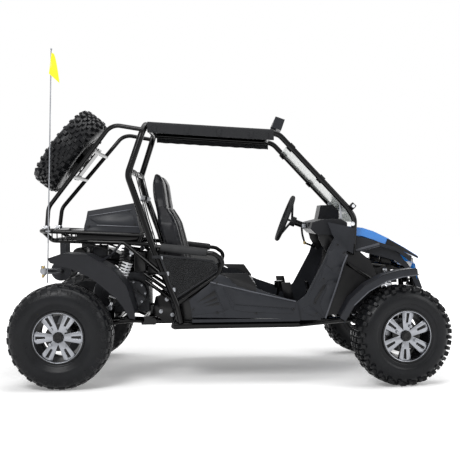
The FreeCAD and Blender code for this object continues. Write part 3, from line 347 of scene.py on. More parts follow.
def follow(line, share):
    """The value at a share of the way along a list of pairs, by the first value."""
    for (low, first), (high, last) in zip(line, line[1:]):
        if share <= high:
            step = max(0.0, (share - low) / (high - low))
            return first + (last - first) * step
    return line[-1][1]


CLOTH_STEPS = 14


def puff(piece, voxel, cap, pressure=4.0):
    """Fill a pad by cloth simulation with pressure and no gravity, the movement capped."""
    modify(piece, "REMESH", mode="VOXEL", voxel_size=voxel)
    before = [vertex.co.copy() for vertex in piece.data.vertices]
    only(piece)
    cloth = piece.modifiers.new("Cloth", "CLOTH")
    cloth.settings.use_pressure = True
    cloth.settings.uniform_pressure_force = pressure
    cloth.settings.effector_weights.gravity = 0
    cloth.settings.quality = 4
    scene = bpy.context.scene
    for step in range(1, CLOTH_STEPS + 1):
        scene.frame_set(step)
    bpy.ops.object.modifier_apply(modifier=cloth.name)
    for vertex, start in zip(piece.data.vertices, before):
        step = vertex.co - start
        if step.length > cap:
            vertex.co = start + step * (cap / step.length)
    scene.frame_set(1)
    return piece


# Shader nodes
def linear(code):
    """An sRGB hex colour as linear red, green, blue and alpha."""
    channels = [int(code[i : i + 2], 16) / 255 for i in (1, 3, 5)]
    curve = [c / 12.92 if c <= 0.04045 else ((c + 0.055) / 1.055) ** 2.4 for c in channels]
    return (*curve, 1.0)


def add_node(tree, kind, settings=None, links=None, out=0):
    """A shader node with its settings and the sockets that feed it; gives back one of its outputs."""
    made = tree.nodes.new("ShaderNode" + kind)
    for key, value in (settings or {}).items():
        if isinstance(key, str) and hasattr(made, key):
            setattr(made, key, value)
        else:
            made.inputs[key].default_value = value
    for key, source in (links or {}).items():
        tree.links.new(source, made.inputs[key])
    return made.outputs[out] if made.outputs else None


def new_material(name):
    """A material without nodes, and its tree."""
    material = bpy.data.materials.new(name)
    material.use_nodes = True
    material.node_tree.nodes.clear()
    return material, material.node_tree


def shown(material, shader):
    """Bring a shader to the material's output."""
    add_node(material.node_tree, "OutputMaterial", None, {"Surface": shader})
    return material


def seen_plainly(tree):
    """1 for what the camera sees, also in metal and through glass, and 0 for light on the vehicle."""
    path = add_node(tree, "LightPath").node.outputs
    rays = {0: path["Is Glossy Ray"], 1: path["Is Transmission Ray"]}
    mirror = add_node(tree, "Math", {"operation": "MAXIMUM"}, rays)
    return add_node(tree, "Math", {"operation": "MAXIMUM"}, {0: path["Is Camera Ray"], 1: mirror})


# Materials. Patterns lie on object coordinates in metres, with their scales in cycles per metre. Leather
# grain, brush marks and threads of 0.2 to 0.8 mm don't show at the render's size, so they are drawn coarser,
# up to 5 mm wide. Gloss paint and lamp glass only ripple, over 14 to 25 mm.
GLOSS_PATCHES = {"Scale": 18, "Detail": 4.0, "Roughness": 0.55}
WEAR_PATCHES = {"Scale": 9, "Detail": 8.0, "Roughness": 0.7}
TYRE_DUST = {"Scale": 11, "Detail": 8.0, "Roughness": 0.65}
TYRE_GLOSS = {"Scale": 25, "Detail": 4.0, "Roughness": 0.55}
TYRE_GRAIN = {"Scale": 900, "Detail": 4.0, "Roughness": 0.55}
# Rings on a tyre's wall, 7 mm apart, in radians per metre
SIDEWALL_RINGS = 900.0


def surface(name, colour, rough, metal, grain, depth, worn=None, specular=0.5, clearcoat=(0, 0.03)):
    """A finish with a fine grain, uneven gloss and, where it wears, a second tone on patches."""
    material, tree = new_material(name)
    place = {"Vector": add_node(tree, "TexCoord", out="Object")}
    gloss = add_node(tree, "TexNoise", GLOSS_PATCHES, place)
    grains = add_node(tree, "TexNoise", {"Scale": grain, "Detail": 4.0, "Roughness": 0.55}, place)
    settings = {"Metallic": metal, "Specular IOR Level": specular}
    settings.update({"Coat Weight": clearcoat[0], "Coat Roughness": clearcoat[1]})
    uneven = {"To Min": rough * 0.8, "To Max": rough * 1.2}
    links = {
        "Roughness": add_node(tree, "MapRange", uneven, {"Value": gloss}),
        "Normal": add_node(tree, "Bump", {"Strength": 0.35, "Distance": depth}, {"Height": grains}),
    }
    if worn:
        patches = add_node(tree, "TexNoise", WEAR_PATCHES, place)
        share = add_node(tree, "MapRange", {"From Min": 0.45, "From Max": 0.75}, {"Value": patches})
        tones = {"data_type": "RGBA", 6: linear(colour), 7: linear(worn)}
        links["Base Color"] = add_node(tree, "Mix", tones, {0: share}, 2)
    else:
        settings["Base Color"] = linear(colour)
    return shown(material, add_node(tree, "BsdfPrincipled", settings, links))


def woven(name, colour, thread, scale, rough=0.85, open_share=0.0):
    """A woven webbing or net: crossing threads by two wave patterns, with open holes for a net."""
    material, tree = new_material(name)
    place = {"Vector": add_node(tree, "TexCoord", out="Object")}
    threads = {}
    for n, direction in enumerate("XZ"):
        wave = {"bands_direction": direction, "Scale": scale, "Distortion": 0.0}
        threads[n] = add_node(tree, "TexWave", wave, place, "Fac")
    crossing = add_node(tree, "Math", {"operation": "MAXIMUM"}, threads)
    tones = {"data_type": "RGBA", 6: linear(colour), 7: linear(thread)}
    settings = {"Roughness": rough, "Sheen Weight": 0.08, "Sheen Roughness": 0.5, "Specular IOR Level": 0.3}
    links = {
        "Normal": add_node(tree, "Bump", {"Strength": 0.5, "Distance": 0.0006}, {"Height": crossing}),
        "Base Color": add_node(tree, "Mix", tones, {0: crossing}, 2),
    }
    shader = add_node(tree, "BsdfPrincipled", settings, links)
    if open_share:
        holes = {"To Min": open_share * 0.4, "To Max": open_share * 1.3}
        share = add_node(tree, "MapRange", holes, {"Value": crossing})
        clear = add_node(tree, "BsdfTransparent")
        shader = add_node(tree, "MixShader", None, {0: share, 1: shader, 2: clear})
    return shown(material, shader)


def rubber(name, colour, dust):
    """Satin black tyre rubber with dust and, from the mesh's own radius, rings on the sidewall."""
    material, tree = new_material(name)
    place = {"Vector": add_node(tree, "TexCoord", out="Object")}
    radial = add_node(tree, "Attribute", {"attribute_name": "radial"}, out="Fac")
    rings = add_node(tree, "Math", {"operation": "MULTIPLY", 1: SIDEWALL_RINGS}, {0: radial})
    wave = add_node(tree, "Math", {"operation": "SINE"}, {0: rings})
    grains = add_node(tree, "TexNoise", TYRE_GRAIN, place)
    height = add_node(tree, "Math", {"operation": "MULTIPLY_ADD", 1: 0.22}, {0: wave, 2: grains})
    patches = add_node(tree, "TexNoise", TYRE_DUST, place)
    share = add_node(tree, "MapRange", {"From Min": 0.35, "From Max": 0.8}, {"Value": patches})
    gloss = add_node(tree, "TexNoise", TYRE_GLOSS, place)
    tones = {"data_type": "RGBA", 6: linear(colour), 7: linear(dust)}
    links = {
        "Base Color": add_node(tree, "Mix", tones, {0: share}, 2),
        "Roughness": add_node(tree, "MapRange", {"To Min": 0.2, "To Max": 0.42}, {"Value": gloss}),
        "Normal": add_node(tree, "Bump", {"Strength": 0.35, "Distance": 0.0008}, {"Height": height}),
    }
    return shown(material, add_node(tree, "BsdfPrincipled", {"Specular IOR Level": 0.16}, links))


def clear_polycarbonate():
    """Clear polycarbonate sheet: nearly colourless, with a soft grey reflection."""
    material, tree = new_material("clear_polycarbonate")
    clear = add_node(tree, "BsdfTransparent", {"Color": linear("#f4f6f5")})
    gloss = add_node(tree, "BsdfPrincipled", {"Base Color": linear("#c9cecb"), "Roughness": 0.1})
    edge_on = add_node(tree, "LayerWeight", {"Blend": 0.35}, out="Facing")
    share = add_node(tree, "MapRange", {"To Min": 0.2, "To Max": 0.7}, {"Value": edge_on})
    return shown(material, add_node(tree, "MixShader", None, {0: share, 1: clear, 2: gloss}))


FINISHES = {}


def finishes():
    """Every finish of the buggy, made once."""
    if not FINISHES:
        FINISHES.update(
            # gloss black powder coat on the steel tubes
            frame=surface("powder_coated_steel", "#050506", 0.16, 0, 260, 0.0003, None, 0.16, (0.08, 0.05)),
            # moulded polypropylene with a fine leather grain, dark blue grey
            plastic=surface("moulded_polypropylene", "#1b1d22", 0.4, 0, 650, 0.0004, "#24262b", 0.24),
            # unpolished polyethylene, darker than the panels' plastic: on the fenders partly their own darker
            # plastic and partly painted shade, and on the dash and floor pan painted shade for parts in low
            # light
            fender=surface("shade_darkened_polyethylene", "#131418", 0.42, 0, 500, 0.0005, "#191a1e", 0.22),
            # the panels' plastic, a little smoother and painted paler on lips, edges and creases: a painted
            # highlight where light catches them
            lip=surface("painted_highlight_polypropylene", "#3f4148", 0.36, 0, 650, 0.0003, "#4c4e55"),
            # gloss blue plastic of the hood
            blue=surface("blue_gloss_abs", "#2a7fd4", 0.16, 0, 70, 0.0001, clearcoat=(0.6, 0.05)),
            # rubber of the tyres' walls
            tyre=rubber("tyre_rubber", "#0f1012", "#18191c"),
            # rubber of the tread blocks, dustier
            tread=rubber("tread_rubber", "#0e0f11", "#222224"),
            # face of the cast wheel, turned bright on a lathe
            alloy=surface("machined_aluminium", "#8b8d92", 0.28, 1, 900, 0.0002),
            # black paint on the wheel's barrel and in the pockets
            wheel_black=surface("black_wheel_enamel", "#0b0b0d", 0.3, 0, 200, 0.0003, None, 0.25),
            # brackets, bolts and the flag's whip
            steel=surface("zinc_plated_steel", "#8f9195", 0.36, 1, 500, 0.0003, "#74767a"),
            # damper rods, collars and lamp cups
            chrome=surface("chromed_steel", "#dcdee2", 0.12, 1, 200, 0.0001),
            # yellow passivated bolts
            brass=surface("yellow_zinc_bolt", "#a8966a", 0.3, 1, 300, 0.0002),
            # castings of the engine and the exhaust
            iron=surface("cast_engine_alloy", "#2a2b2e", 0.45, 0.7, 350, 0.0007, "#18191b"),
            # soft foam sleeve on the side bars and the steering wheel
            foam=surface("foam_grip", "#17181a", 0.75, 0, 1500, 0.0006),
            # seat vinyl with a fine grain
            vinyl=surface("seat_vinyl", "#101115", 0.38, 0, 1100, 0.0005, "#17181d", 0.2),
            # polyester webbing of the harness
            webbing=woven("belt_webbing", "#101113", "#26272a", 170),
            # coated canvas of the roof
            canvas=woven("roof_canvas", "#0d0e10", "#16171a", 260, 0.75),
            # open mesh of the side nets
            net=woven("side_mesh", "#0f1011", "#17181a", 90, 0.8, 0.2),
            # thin nylon of the flag
            yellow=woven("yellow_nylon_flag", "#f4ea04", "#fdf63a", 300, 0.7),
            # white paint on the coils
            spring=surface("white_spring_paint", "#e6e7ea", 0.26, 0, 300, 0.0002),
            # grey lamp glass with its reflector behind
            lens=surface("lamp_lens", "#b4b6b9", 0.14, 0, 40, 0.0003, clearcoat=(1, 0.03)),
            # clear cover of the light bar
            lamp=surface("led_lens", "#dfe3e8", 0.12, 0.2, 60, 0.0003, clearcoat=(1, 0.03)),
            # windshield
            clear=clear_polycarbonate(),
        )
    return FINISHES


SLOT_FINISH = {
    "black_frame": "frame",
    "grey_steel": "steel",
    "engine_metal": "iron",
    "machined_alloy": "alloy",
    "black_plastic": "plastic",
    "blue_plastic": "blue",
    "tyre_rubber": "tyre",
    "foam_rubber": "foam",
    "seat_vinyl": "vinyl",
    "black_fabric": "canvas",
    "yellow_fabric": "yellow",
    "clear_sheet": "clear",
    "lamp_lens": "lens",
    "white_spring": "spring",
}


def on_side(point, side):
    """A point of the left side, brought to either side."""
    return Vector((point[0], side * point[1], point[2]))


# Wheels
STEER_REST = math.radians(13)
KINGPIN_Y = 0.535
KINGPIN_OFFSET = 0.076
AXLE_X = 0.9
REAR_WHEEL_Y = 0.573
FRONT_RADIUS = 0.266
REAR_RADIUS = 0.28
RIM_RADIUS = 0.127
FRONT_HALF_RIM = 0.075
REAR_HALF_RIM = 0.101


def wheel_frame(centre, outward):
    """Local Z along the wheel's axis to its outer face, local Y up."""
    return Matrix.Translation(centre) @ facing(outward)


def front_frame(side):
    along = math.sin(STEER_REST)
    across = math.cos(STEER_REST)
    centre = (AXLE_X - side * KINGPIN_OFFSET * along, KINGPIN_Y + KINGPIN_OFFSET * across, FRONT_RADIUS)
    return wheel_frame(on_side(centre, side), (-along * side, across * side, 0))


def rear_frame(side):
    return wheel_frame((-AXLE_X, side * REAR_WHEEL_Y, REAR_RADIUS), (0, side, 0))


SPARE_FRAME = wheel_frame((-0.928, 0, 1.308), (-0.7809, 0, 0.6247))
SPARE_SCALE = 0.975

# Blocks in a row, the tread's depth, and its rows: how far a block's middle lies under the tread's top and
# inside the tyre's edge, its lengths, its lean and its shift along the row in pitches
FRONT_ROWS = [
    (0.011, 0.04, (0.024, 0.03, 0.026), 0.35, 0.0),
    (0.023, 0.016, (0.02, 0.022, 0.024), 0.95, 0.5),
    (0.008, 0.066, (0.019, 0.026, 0.018), 0.1, 0.5),
    (0.007, 0.079, (0.016, 0.024, 0.017), 0.0, 0.0),
]
REAR_ROWS = [
    (0.0115, 0.046, (0.013, 0.04, 0.034), 0.34, 0.0),
    (0.038, 0.011, (0.006, 0.024, 0.03), 1.25, 0.5),
    (0.007, 0.086, (0.012, 0.036, 0.026), 0.05, 0.5),
    (0.007, 0.11, (0.012, 0.036, 0.028), 0.0, 0.0),
]
FRONT_TREAD = (26, 0.013, FRONT_ROWS)
REAR_TREAD = (28, 0.008, REAR_ROWS)


def tread_block(name, lengths):
    """One rubber block on the tread, narrower at its top."""
    piece = coat(primitive("cube", name, size=1), "tread")
    pick_faces(piece, lambda middle, normal: normal.x > 0.9)
    bpy.ops.transform.resize(value=(1, 0.78, 0.8), center_override=(0.5, 0, 0))
    leave_edit()
    piece.data.transform(Matrix.Diagonal((*lengths, 1)))
    return rounded(piece, 0.0016, 1)


def ring_of(piece, count, start):
    """Copies of a piece round the wheel's axis, in place of the piece."""
    made = []
    for n in range(count):
        made.append(copy_of(piece, piece.name, Matrix.Rotation(start + 2 * math.pi * n / count, 4, "Z")))
    bpy.data.objects.remove(piece)
    return made


def kept_round(tyre, limit):
    """Keep the blocks' corners to the tyre's radius, and each point's radius for the rubber's rings."""
    attribute = tyre.data.attributes.new("radial", "FLOAT", "POINT")
    for vertex in tyre.data.vertices:
        reach = math.hypot(vertex.co.x, vertex.co.y)
        if reach > limit:
            vertex.co.x *= limit / reach
            vertex.co.y *= limit / reach
        attribute.data[vertex.index].value = min(reach, limit)
    return tyre


def make_tyre(name, radius, half, bead, tread):
    """Carcass with its sidewall steps and rows of tread blocks, about local Z."""
    count, depth, rows = tread
    crown = radius - depth
    wall = crown - RIM_RADIUS
    right = [
        (RIM_RADIUS + 0.001, bead - 0.012),
        (RIM_RADIUS + 0.002, bead),
        (0.143, bead + 0.003),
        (0.149, bead + 0.007),
        (0.151, bead + 0.005),
        (RIM_RADIUS + 0.3 * wall, half - 0.008),
        (RIM_RADIUS + 0.33 * wall, half - 0.006),
        (RIM_RADIUS + 0.35 * wall, half - 0.003),
        (RIM_RADIUS + 0.5 * wall, half),
        (RIM_RADIUS + 0.66 * wall, half - 0.002),
        (RIM_RADIUS + 0.8 * wall, half - 0.01),
        (crown - 0.012, half - 0.024),
        (crown - 0.003, half - 0.042),
        (crown, 0.35 * half),
    ]
    carcass = turned(name, "tyre", right[::-1] + [(r, -z) for r, z in right], 80)
    pieces = [smooth(modify(carcass, "SUBSURF", levels=1), 50)]
    pitch = 2 * math.pi / count
    for under, inside, lengths, lean, shift in rows:
        for side in SIDES.values():
            place = Matrix.Translation((radius - under, 0, (half - inside) * side))
            one = moved(tread_block(name, lengths), place @ Matrix.Rotation(-lean * side, 4, "Y"))
            pieces += ring_of(one, count, pitch * (shift + 0.25 * side))
    return kept_round(joined(pieces, name), radius - 0.0002)


# Reach from the axis and half width of a spoke at its root, middle and tip
SPOKE_OUTLINE = [(0.026, 0.017), (0.062, 0.023), (0.129, 0.0345)]
SPOKE_DEPTH = 0.016


def make_spoke(name, face):
    """A double spoke: a widening arm whose front is inset and sunk between its two edges."""
    piece = subdivided(primitive("cube", name, size=1), 1)
    for vertex in piece.data.vertices:
        reach, width = SPOKE_OUTLINE[round((vertex.co.x + 0.5) * 2)]
        height = face + (vertex.co.z - 0.5) * SPOKE_DEPTH
        if reach > 0.1 and vertex.co.z > 0:
            height += 0.007
        vertex.co = (reach, vertex.co.y * 2 * width, height)
    pick_faces(piece, lambda middle, normal: normal.z > 0.8 and middle.x > 0.062)
    bpy.ops.mesh.inset(thickness=0.006, depth=0)
    bpy.ops.transform.resize(value=(0.94, 0.3, 1), center_override=(0.094, 0, face))
    extrude(0, 0, -0.009)
    leave_edit()
    coat(smooth(rounded(face_out(piece), 0.0014), 40), "alloy", "wheel_black")
    for polygon in piece.data.polygons:
        front = polygon.center.z > face - 0.004
        polygon.material_index = 0 if front and polygon.normal.z > 0.3 else 1
    return piece


def make_cap(name):
    """Hub cap with a raised rim."""
    cap = disc(name, "wheel_black", 0.0265, 0.012)
    pick_faces(cap, lambda middle, normal: normal.z > 0.9)
    for width, rise in [(0.006, 0.004), (0.008, -0.003)]:
        bpy.ops.mesh.inset(thickness=width)
        extrude(0, 0, rise)
    leave_edit()
    return bevelled(cap, 0.0012)


def make_wheel(name, half, phase):
    """Black barrel, six double spokes with bright faces, a bright outer ring, hub cap and nuts."""
    face = half - 0.012
    barrel = [
        (0.1415, half - 0.001),
        (0.1268, half - 0.001),
        (0.1268, -half + 0.001),
        (0.1415, -half + 0.001),
        (0.1415, -half - 0.007),
        (0.124, -half - 0.004),
        (0.119, -half + 0.012),
        (0.117, -0.03),
        (0.108, 0.0),
        (0.117, 0.02),
        (0.119, half - 0.026),
        (0.1285, half - 0.006),
        (0.1295, half + 0.007),
        (0.14, half + 0.008),
        (0.1415, half + 0.006),
    ]
    lip = [(0.1335, half + 0.008), (0.1322, half + 0.0094), (0.1295, half + 0.0085), (0.1278, half + 0.004)]
    lip += [(0.129, half + 0.001), (0.1325, half + 0.004)]
    seat = [(0.072, face - 0.016), (0.072, face - 0.006), (0.03, face - 0.006), (0.03, face - 0.016)]
    nut = bevelled(disc(name, "steel", 0.009, 0.016, 6), 0.0012)
    moved(nut, Matrix.Translation((0.055, 0, face + 0.003)))
    parts = [
        turned(name, "wheel_black", barrel),
        turned(name, "alloy", lip),
        bevelled(lifted(disc(name, "wheel_black", 0.029, 0.046), face - 0.026), 0.003, 3),
        turned(name, "wheel_black", seat, 48),
        lifted(make_cap(name), face + 0.004),
    ]
    parts += ring_of(make_spoke(name, face), 6, phase)
    parts += ring_of(nut, 4, phase + math.radians(40))
    return joined(parts, name)


class BUGGY_OT_wheels(bpy.types.Operator):
    """Tyres with their tread and six-spoke wheels, for the axles and the spare"""

    bl_idname = "buggy.wheels"
    bl_label = "Wheels and tyres"

    def execute(self, context):
        front = make_tyre("front_tread", FRONT_RADIUS, 0.089, FRONT_HALF_RIM, FRONT_TREAD)
        rear = make_tyre("rear_tread", REAR_RADIUS, 0.127, REAR_HALF_RIM, REAR_TREAD)
        front_wheel = make_wheel("front_wheel", FRONT_HALF_RIM, math.radians(25))
        rear_wheel = make_wheel("rear_wheel", REAR_HALF_RIM, 0.0)
        rear_tyres = []
        rear_rims = []
        for word, side in SIDES.items():
            body = f"front_wheel_{word}"
            tyre = copy_of(front, f"tyre_front_{word}", front_frame(side))
            settle(tyre, f"front_tyre_{word}", body)
            rim = copy_of(front_wheel, f"rim_front_{word}", front_frame(side))
            settle(rim, f"front_rim_{word}", body)
            rear_tyres.append(copy_of(rear, "tyres_rear", rear_frame(side)))
            rear_rims.append(copy_of(rear_wheel, "rims_rear", rear_frame(side)))
        settle(joined(rear_tyres, "tyres_rear"), "rear_tyres", "rear_wheels")
        settle(joined(rear_rims, "rims_rear"), "rear_rims", "rear_wheels")
        spare = copy_of(front, "tyre_spare", SPARE_FRAME @ Matrix.Scale(SPARE_SCALE, 4))
        settle(spare, "spare_tyre")
        settle(copy_of(front_wheel, "rim_spare", SPARE_FRAME), "spare_rim")
        for pattern in (front, rear, front_wheel, rear_wheel):
            bpy.data.objects.remove(pattern)
        return {"FINISHED"}


# Springs and dampers: low eye, top eye and pin direction of the left ones
SHOCK_ENDS = {
    "rear": ((-0.67, 0.3033, 0.4), (-0.539, 0.325, 0.713), (0, 1, 0)),
    "front": ((0.9, 0.402, 0.262), (0.89, 0.268, 0.59), (1, 0, 0)),
}
COIL_RADIUS = 0.0262
COIL_WIRE = 0.0042
COIL_TURNS = 13


def make_coil(name, start, end):
    """A coil about Z between two heights."""
    coil = coat(primitive("circle", name, vertices=12, radius=COIL_WIRE), "spring")
    moved(coil, Matrix.Translation((COIL_RADIUS, 0, start)) @ Matrix.Rotation(math.pi / 2, 4, "X"))
    steps = 24 * COIL_TURNS
    turns = {"axis": "Z", "angle": 2 * math.pi * COIL_TURNS, "screw_offset": end - start}
    return smooth(face_out(modify(coil, "SCREW", steps=steps, render_steps=steps, **turns)), 60)


def make_shock(name, low, top, pin):
    """Damper with its rod, perches and eyes in steel and black, and a white coil round it."""
    length = (top - low).length
    place = Matrix.Translation(low) @ facing(top - low)
    start = length * 0.17
    end = length * 0.83
    coil = moved(make_coil(name, start, end), place)
    parts = []
    for part, finish, low_end, top_end, radius in [
        ("rod", "chrome", 0, 1, 0.007),
        ("body", "wheel_black", 0.1, 0.62, 0.017),
        ("cap", "wheel_black", 0.82, 0.93, 0.015),
    ]:
        parts.append(rod(part, finish, (0, 0, length * low_end), (0, 0, length * top_end), radius))
    reach = COIL_RADIUS + COIL_WIRE
    for z in (start - 0.004, end + 0.004):
        parts.append(rod("perch", "wheel_black", (0, 0, z - 0.004), (0, 0, z + 0.004), reach, 32, 0.001))
    for part in parts:
        moved(part, place)
    for eye in (low, top):
        half = Vector(pin) * 0.0118
        parts.append(rod("eye", "steel", eye - half, eye + half, 0.0148, 32, 0.002))
    return coil, joined(parts, name)


class BUGGY_OT_shocks(bpy.types.Operator):
    """Coil-over shock absorbers at the front and the rear"""

    bl_idname = "buggy.shocks"
    bl_label = "Shock absorbers"

    def execute(self, context):
        for end, (low, top, pin) in SHOCK_ENDS.items():
            made = [make_shock(end, on_side(low, side), on_side(top, side), pin) for side in SIDES.values()]
            settle(joined([coil for coil, damper in made], f"{end}_coils"), f"{end}_shocks")
            settle(joined([damper for coil, damper in made], f"{end}_dampers"))
        return {"FINISHED"}


# Seats: front, rear and half width of the back by height, and the cushion's height by X
BACK_FRONT = [(0.4, -0.226), (0.5, -0.204), (0.6, -0.206), (0.777, -0.25), (0.85, -0.268)]
BACK_FRONT += [(0.895, -0.281), (0.93, -0.306), (0.958, -0.338), (1.0, -0.35), (1.11, -0.364)]
BACK_FRONT += [(1.145, -0.374), (1.16, -0.388)]
BACK_REAR = [(0.4, -0.312), (0.757, -0.347), (0.868, -0.38), (0.942, -0.391), (1.03, -0.414)]
BACK_REAR += [(1.128, -0.418), (1.16, -0.41)]
BACK_HALF = [(0.4, 0.17), (0.56, 0.182), (0.8, 0.188), (0.88, 0.178), (0.94, 0.14), (0.985, 0.1)]
BACK_HALF += [(1.1, 0.098), (1.145, 0.09), (1.16, 0.072)]
CUSHION_TOP = [(-0.322, 0.47), (-0.23, 0.498), (-0.1, 0.512), (0.02, 0.524), (0.12, 0.538)]
CUSHION_TOP += [(0.162, 0.524)]
SEAT_Y = 0.215
SEAT_FOOT = 0.404
SHOULDER = 0.93
CUSHION_HALF = 0.186
SEAM_Y = 0.098
SEAM_DEPTH = 0.0055
SEAM_WIDTH = 0.0055


def dip(across):
    """1 in a seat's middle, falling to 0 on its raised sides."""
    bolster = min(1.0, max(0.0, (abs(across) - 0.5) / 0.35))
    return 0.5 + 0.5 * math.cos(math.pi * bolster)


def seat_back_shape(u, v, w):
    """Back at u 0, front at u 1; v along the height and w across, with side bolsters."""
    z = SEAT_FOOT + v * 0.756
    rear = follow(BACK_REAR, z)
    front = follow(BACK_FRONT, z)
    across = 2 * w - 1
    low = 1.0 if z < SHOULDER else max(0.0, 1 - (z - SHOULDER) / 0.05)
    front -= low * (0.01 + 0.034 * dip(across))
    rounding = 0.5 - 0.5 * math.cos(math.pi * min(1.0, (1 - abs(across)) * 4))
    middle = (front + rear) / 2
    x = middle + (rear + (front - rear) * u - middle) * (0.78 + 0.22 * rounding)
    return Vector((x, across * follow(BACK_HALF, z), z))


def cushion_shape(u, v, w):
    """Rear at u 0, front at u 1; v upwards and w across, with raised sides."""
    x = -0.318 + u * 0.48
    across = 2 * w - 1
    top = follow(CUSHION_TOP, x) - 0.024 * dip(across)
    return Vector((x, across * CUSHION_HALF, SEAT_FOOT + (top - SEAT_FOOT) * v))


def seam(piece, test):
    """Press a sewn channel into the pad: a test gives each point's distance from the seam."""
    normals = [vertex.normal.copy() for vertex in piece.data.vertices]
    for vertex, normal in zip(piece.data.vertices, normals):
        distance = test(vertex.co, normal)
        if distance is not None and distance < 0.02:
            vertex.co -= normal * SEAM_DEPTH * math.exp(-((distance / SEAM_WIDTH) ** 2))


def back_seams(point, normal):
    if normal.x < 0.25:
        return None
    if point.z >= SHOULDER:
        return abs(point.z - 0.965)
    lines = [abs(abs(point.y) - SEAM_Y)]
    if abs(point.y) < SEAM_Y:
        lines += [abs(point.z - level) for level in (0.6, 0.7, 0.8, 0.88)]
    return min(lines)


def cushion_seams(point, normal):
    if normal.z < 0.25:
        return None
    lines = [abs(abs(point.y) - SEAM_Y)]
    if abs(point.y) < SEAM_Y:
        lines += [abs(point.x - place) for place in (-0.14, -0.04, 0.06)]
    return min(lines)


def make_pad(name, shape, seams):
    """A pad of closed form, filled by simulation, with sewn channels pressed in after it."""
    pad = shaped_block(name, 15, lambda x, y, z: shape(x, z, y))
    rounded(pad, 0.014, 3, angle_limit=math.radians(50))
    puff(pad, 0.008, 0.007)
    modify(pad, "SUBSURF", levels=1)
    seam(pad, seams)
    return coat(smooth(pad, 180), "vinyl")


class BUGGY_OT_seats(bpy.types.Operator):
    """Two bucket seats, with their backs and cushions as filled pads"""

    bl_idname = "buggy.seats"
    bl_label = "Seats"

    def execute(self, context):
        for name, shape, seams, node in [
            ("seat_back_pad", seat_back_shape, back_seams, "seat_backs"),
            ("seat_cushion_pad", cushion_shape, cushion_seams, "seat_cushions"),
        ]:
            pattern = make_pad(name, shape, seams)
            for word, side in SIDES.items():
                piece = copy_of(pattern, f"{name}_{word}", Matrix.Translation((0, side * SEAT_Y, 0)))
                settle(piece, node)
            bpy.data.objects.remove(pattern)
        return {"FINISHED"}


def strap(name, line, middle, width, wall):
    """A flat webbing strap that follows a side profile, with a thickness and rounded edges."""
    lengths = [0.0]
    for first, last in zip(line, line[1:]):
        lengths.append(lengths[-1] + math.dist(first, last))
    along = [(reach, x) for reach, (x, z) in zip(lengths, line)]
    height = [(reach, z) for reach, (x, z) in zip(lengths, line)]

    def place(u, v):
        reach = u * lengths[-1]
        return Vector((follow(along, reach), middle + (v - 0.5) * width, follow(height, reach)))

    piece = sheet_grid(name, "webbing", 48, 4, place, wall)
    return smooth(rounded(piece, wall * 0.35, angle_limit=math.radians(60)), 50)


STRAP_LINE = [(-0.552, 1.18), (-0.543, 1.1845), (-0.528, 1.181), (-0.52, 1.165), (-0.5, 1.08)]
STRAP_LINE += [(-0.469, 0.956), (-0.456, 0.9), (-0.432, 0.82), (-0.41, 0.742)]


class BUGGY_OT_belts(bpy.types.Operator):
    """Harness straps behind the seats, with adjusters, and the lap straps with a buckle"""

    bl_idname = "buggy.belts"
    bl_label = "Seat belts"

    def execute(self, context):
        straps = []
        parts = []
        turn = Matrix.Rotation(math.radians(14), 4, "Y")
        for side in SIDES.values():
            seat = side * SEAT_Y
            for y in (seat - 0.06, seat + 0.06):
                straps.append(strap("hanging_strap", STRAP_LINE, y, 0.048, 0.003))
                lengths = (0.008, 0.06, 0.034)
                parts.append(block("adjuster", "steel", (-0.484, y, 1.016), lengths, 0.0015, turn))
            parts.append(block("buckle", "wheel_black", (-0.176, seat, 0.548), (0.064, 0.062, 0.018), 0.004))
            for way in (-1, 1):
                lean = Matrix.Rotation(way * math.radians(-4), 4, "X")
                middle = (-0.18, seat + way * 0.108, 0.5325)
                parts.append(block("lap_strap", "webbing", middle, (0.046, 0.15, 0.003), 0.001, lean))
        settle(joined(straps, "harness_straps"), "seat_belts")
        settle(joined(parts, "harness_fittings"))
        return {"FINISHED"}


# Roof, nets, flag and pads
ROOF_START = -0.44
ROOF_LENGTH = 0.706
ROOF_HALF = 0.364
ROOF_FALL = 0.052
FOLD = 0.01


def rail_height(x):
    """Height of the roof rails' middle line."""
    return 1.425 - (x + 0.444) * 0.0749


def roof_point(u, v):
    """Canvas pulled over the roof bars: u along the vehicle, v across from right to left."""
    x = ROOF_START + u * ROOF_LENGTH
    rail = rail_height(x)
    across = (2 * v - 1) * 1.13
    sag = 0.012 * math.sin(math.pi * u) * max(0.0, 1 - (across / 0.95) ** 2)
    if abs(across) <= 0.93:
        return Vector((x, across / 0.93 * (ROOF_HALF - FOLD), rail + 0.0195 - sag))
    fall = (abs(across) - 0.93) / 0.2
    ripple = 0.0025 * math.sin(u * 60) * fall
    if fall < 0.35:
        turn = fall / 0.35 * math.pi / 2
        y = ROOF_HALF - FOLD + FOLD * math.sin(turn)
        z = rail + 0.0095 + FOLD * math.cos(turn)
    else:
        y = ROOF_HALF
        z = rail + 0.0095 - (fall - 0.35) / 0.65 * ROOF_FALL
    return Vector((x, math.copysign(y - ripple * 0.5 - 0.001, across), z + ripple * 0.4))


class BUGGY_OT_roof(bpy.types.Operator):
    """Canvas roof laced over the bars, with its tie straps"""

    bl_idname = "buggy.roof"
    bl_label = "Roof canopy"

    def execute(self, context):
        canvas = sheet_grid("roof_sheet", "canvas", 60, 64, roof_point, 0.0024, -1)
        settle(canvas, "roof_canopy")
        ties = []
        for side in SIDES.values():
            for x in (-0.4, -0.22, -0.04, 0.14, 0.25):
                middle = (x, side * 0.3655, rail_height(x) - 0.018)
                ties.append(block("roof_tie", "canvas", middle, (0.022, 0.0016, 0.036), 0.0006))
        straps = settle(joined(ties, "roof_ties"))
        return {"FINISHED"}


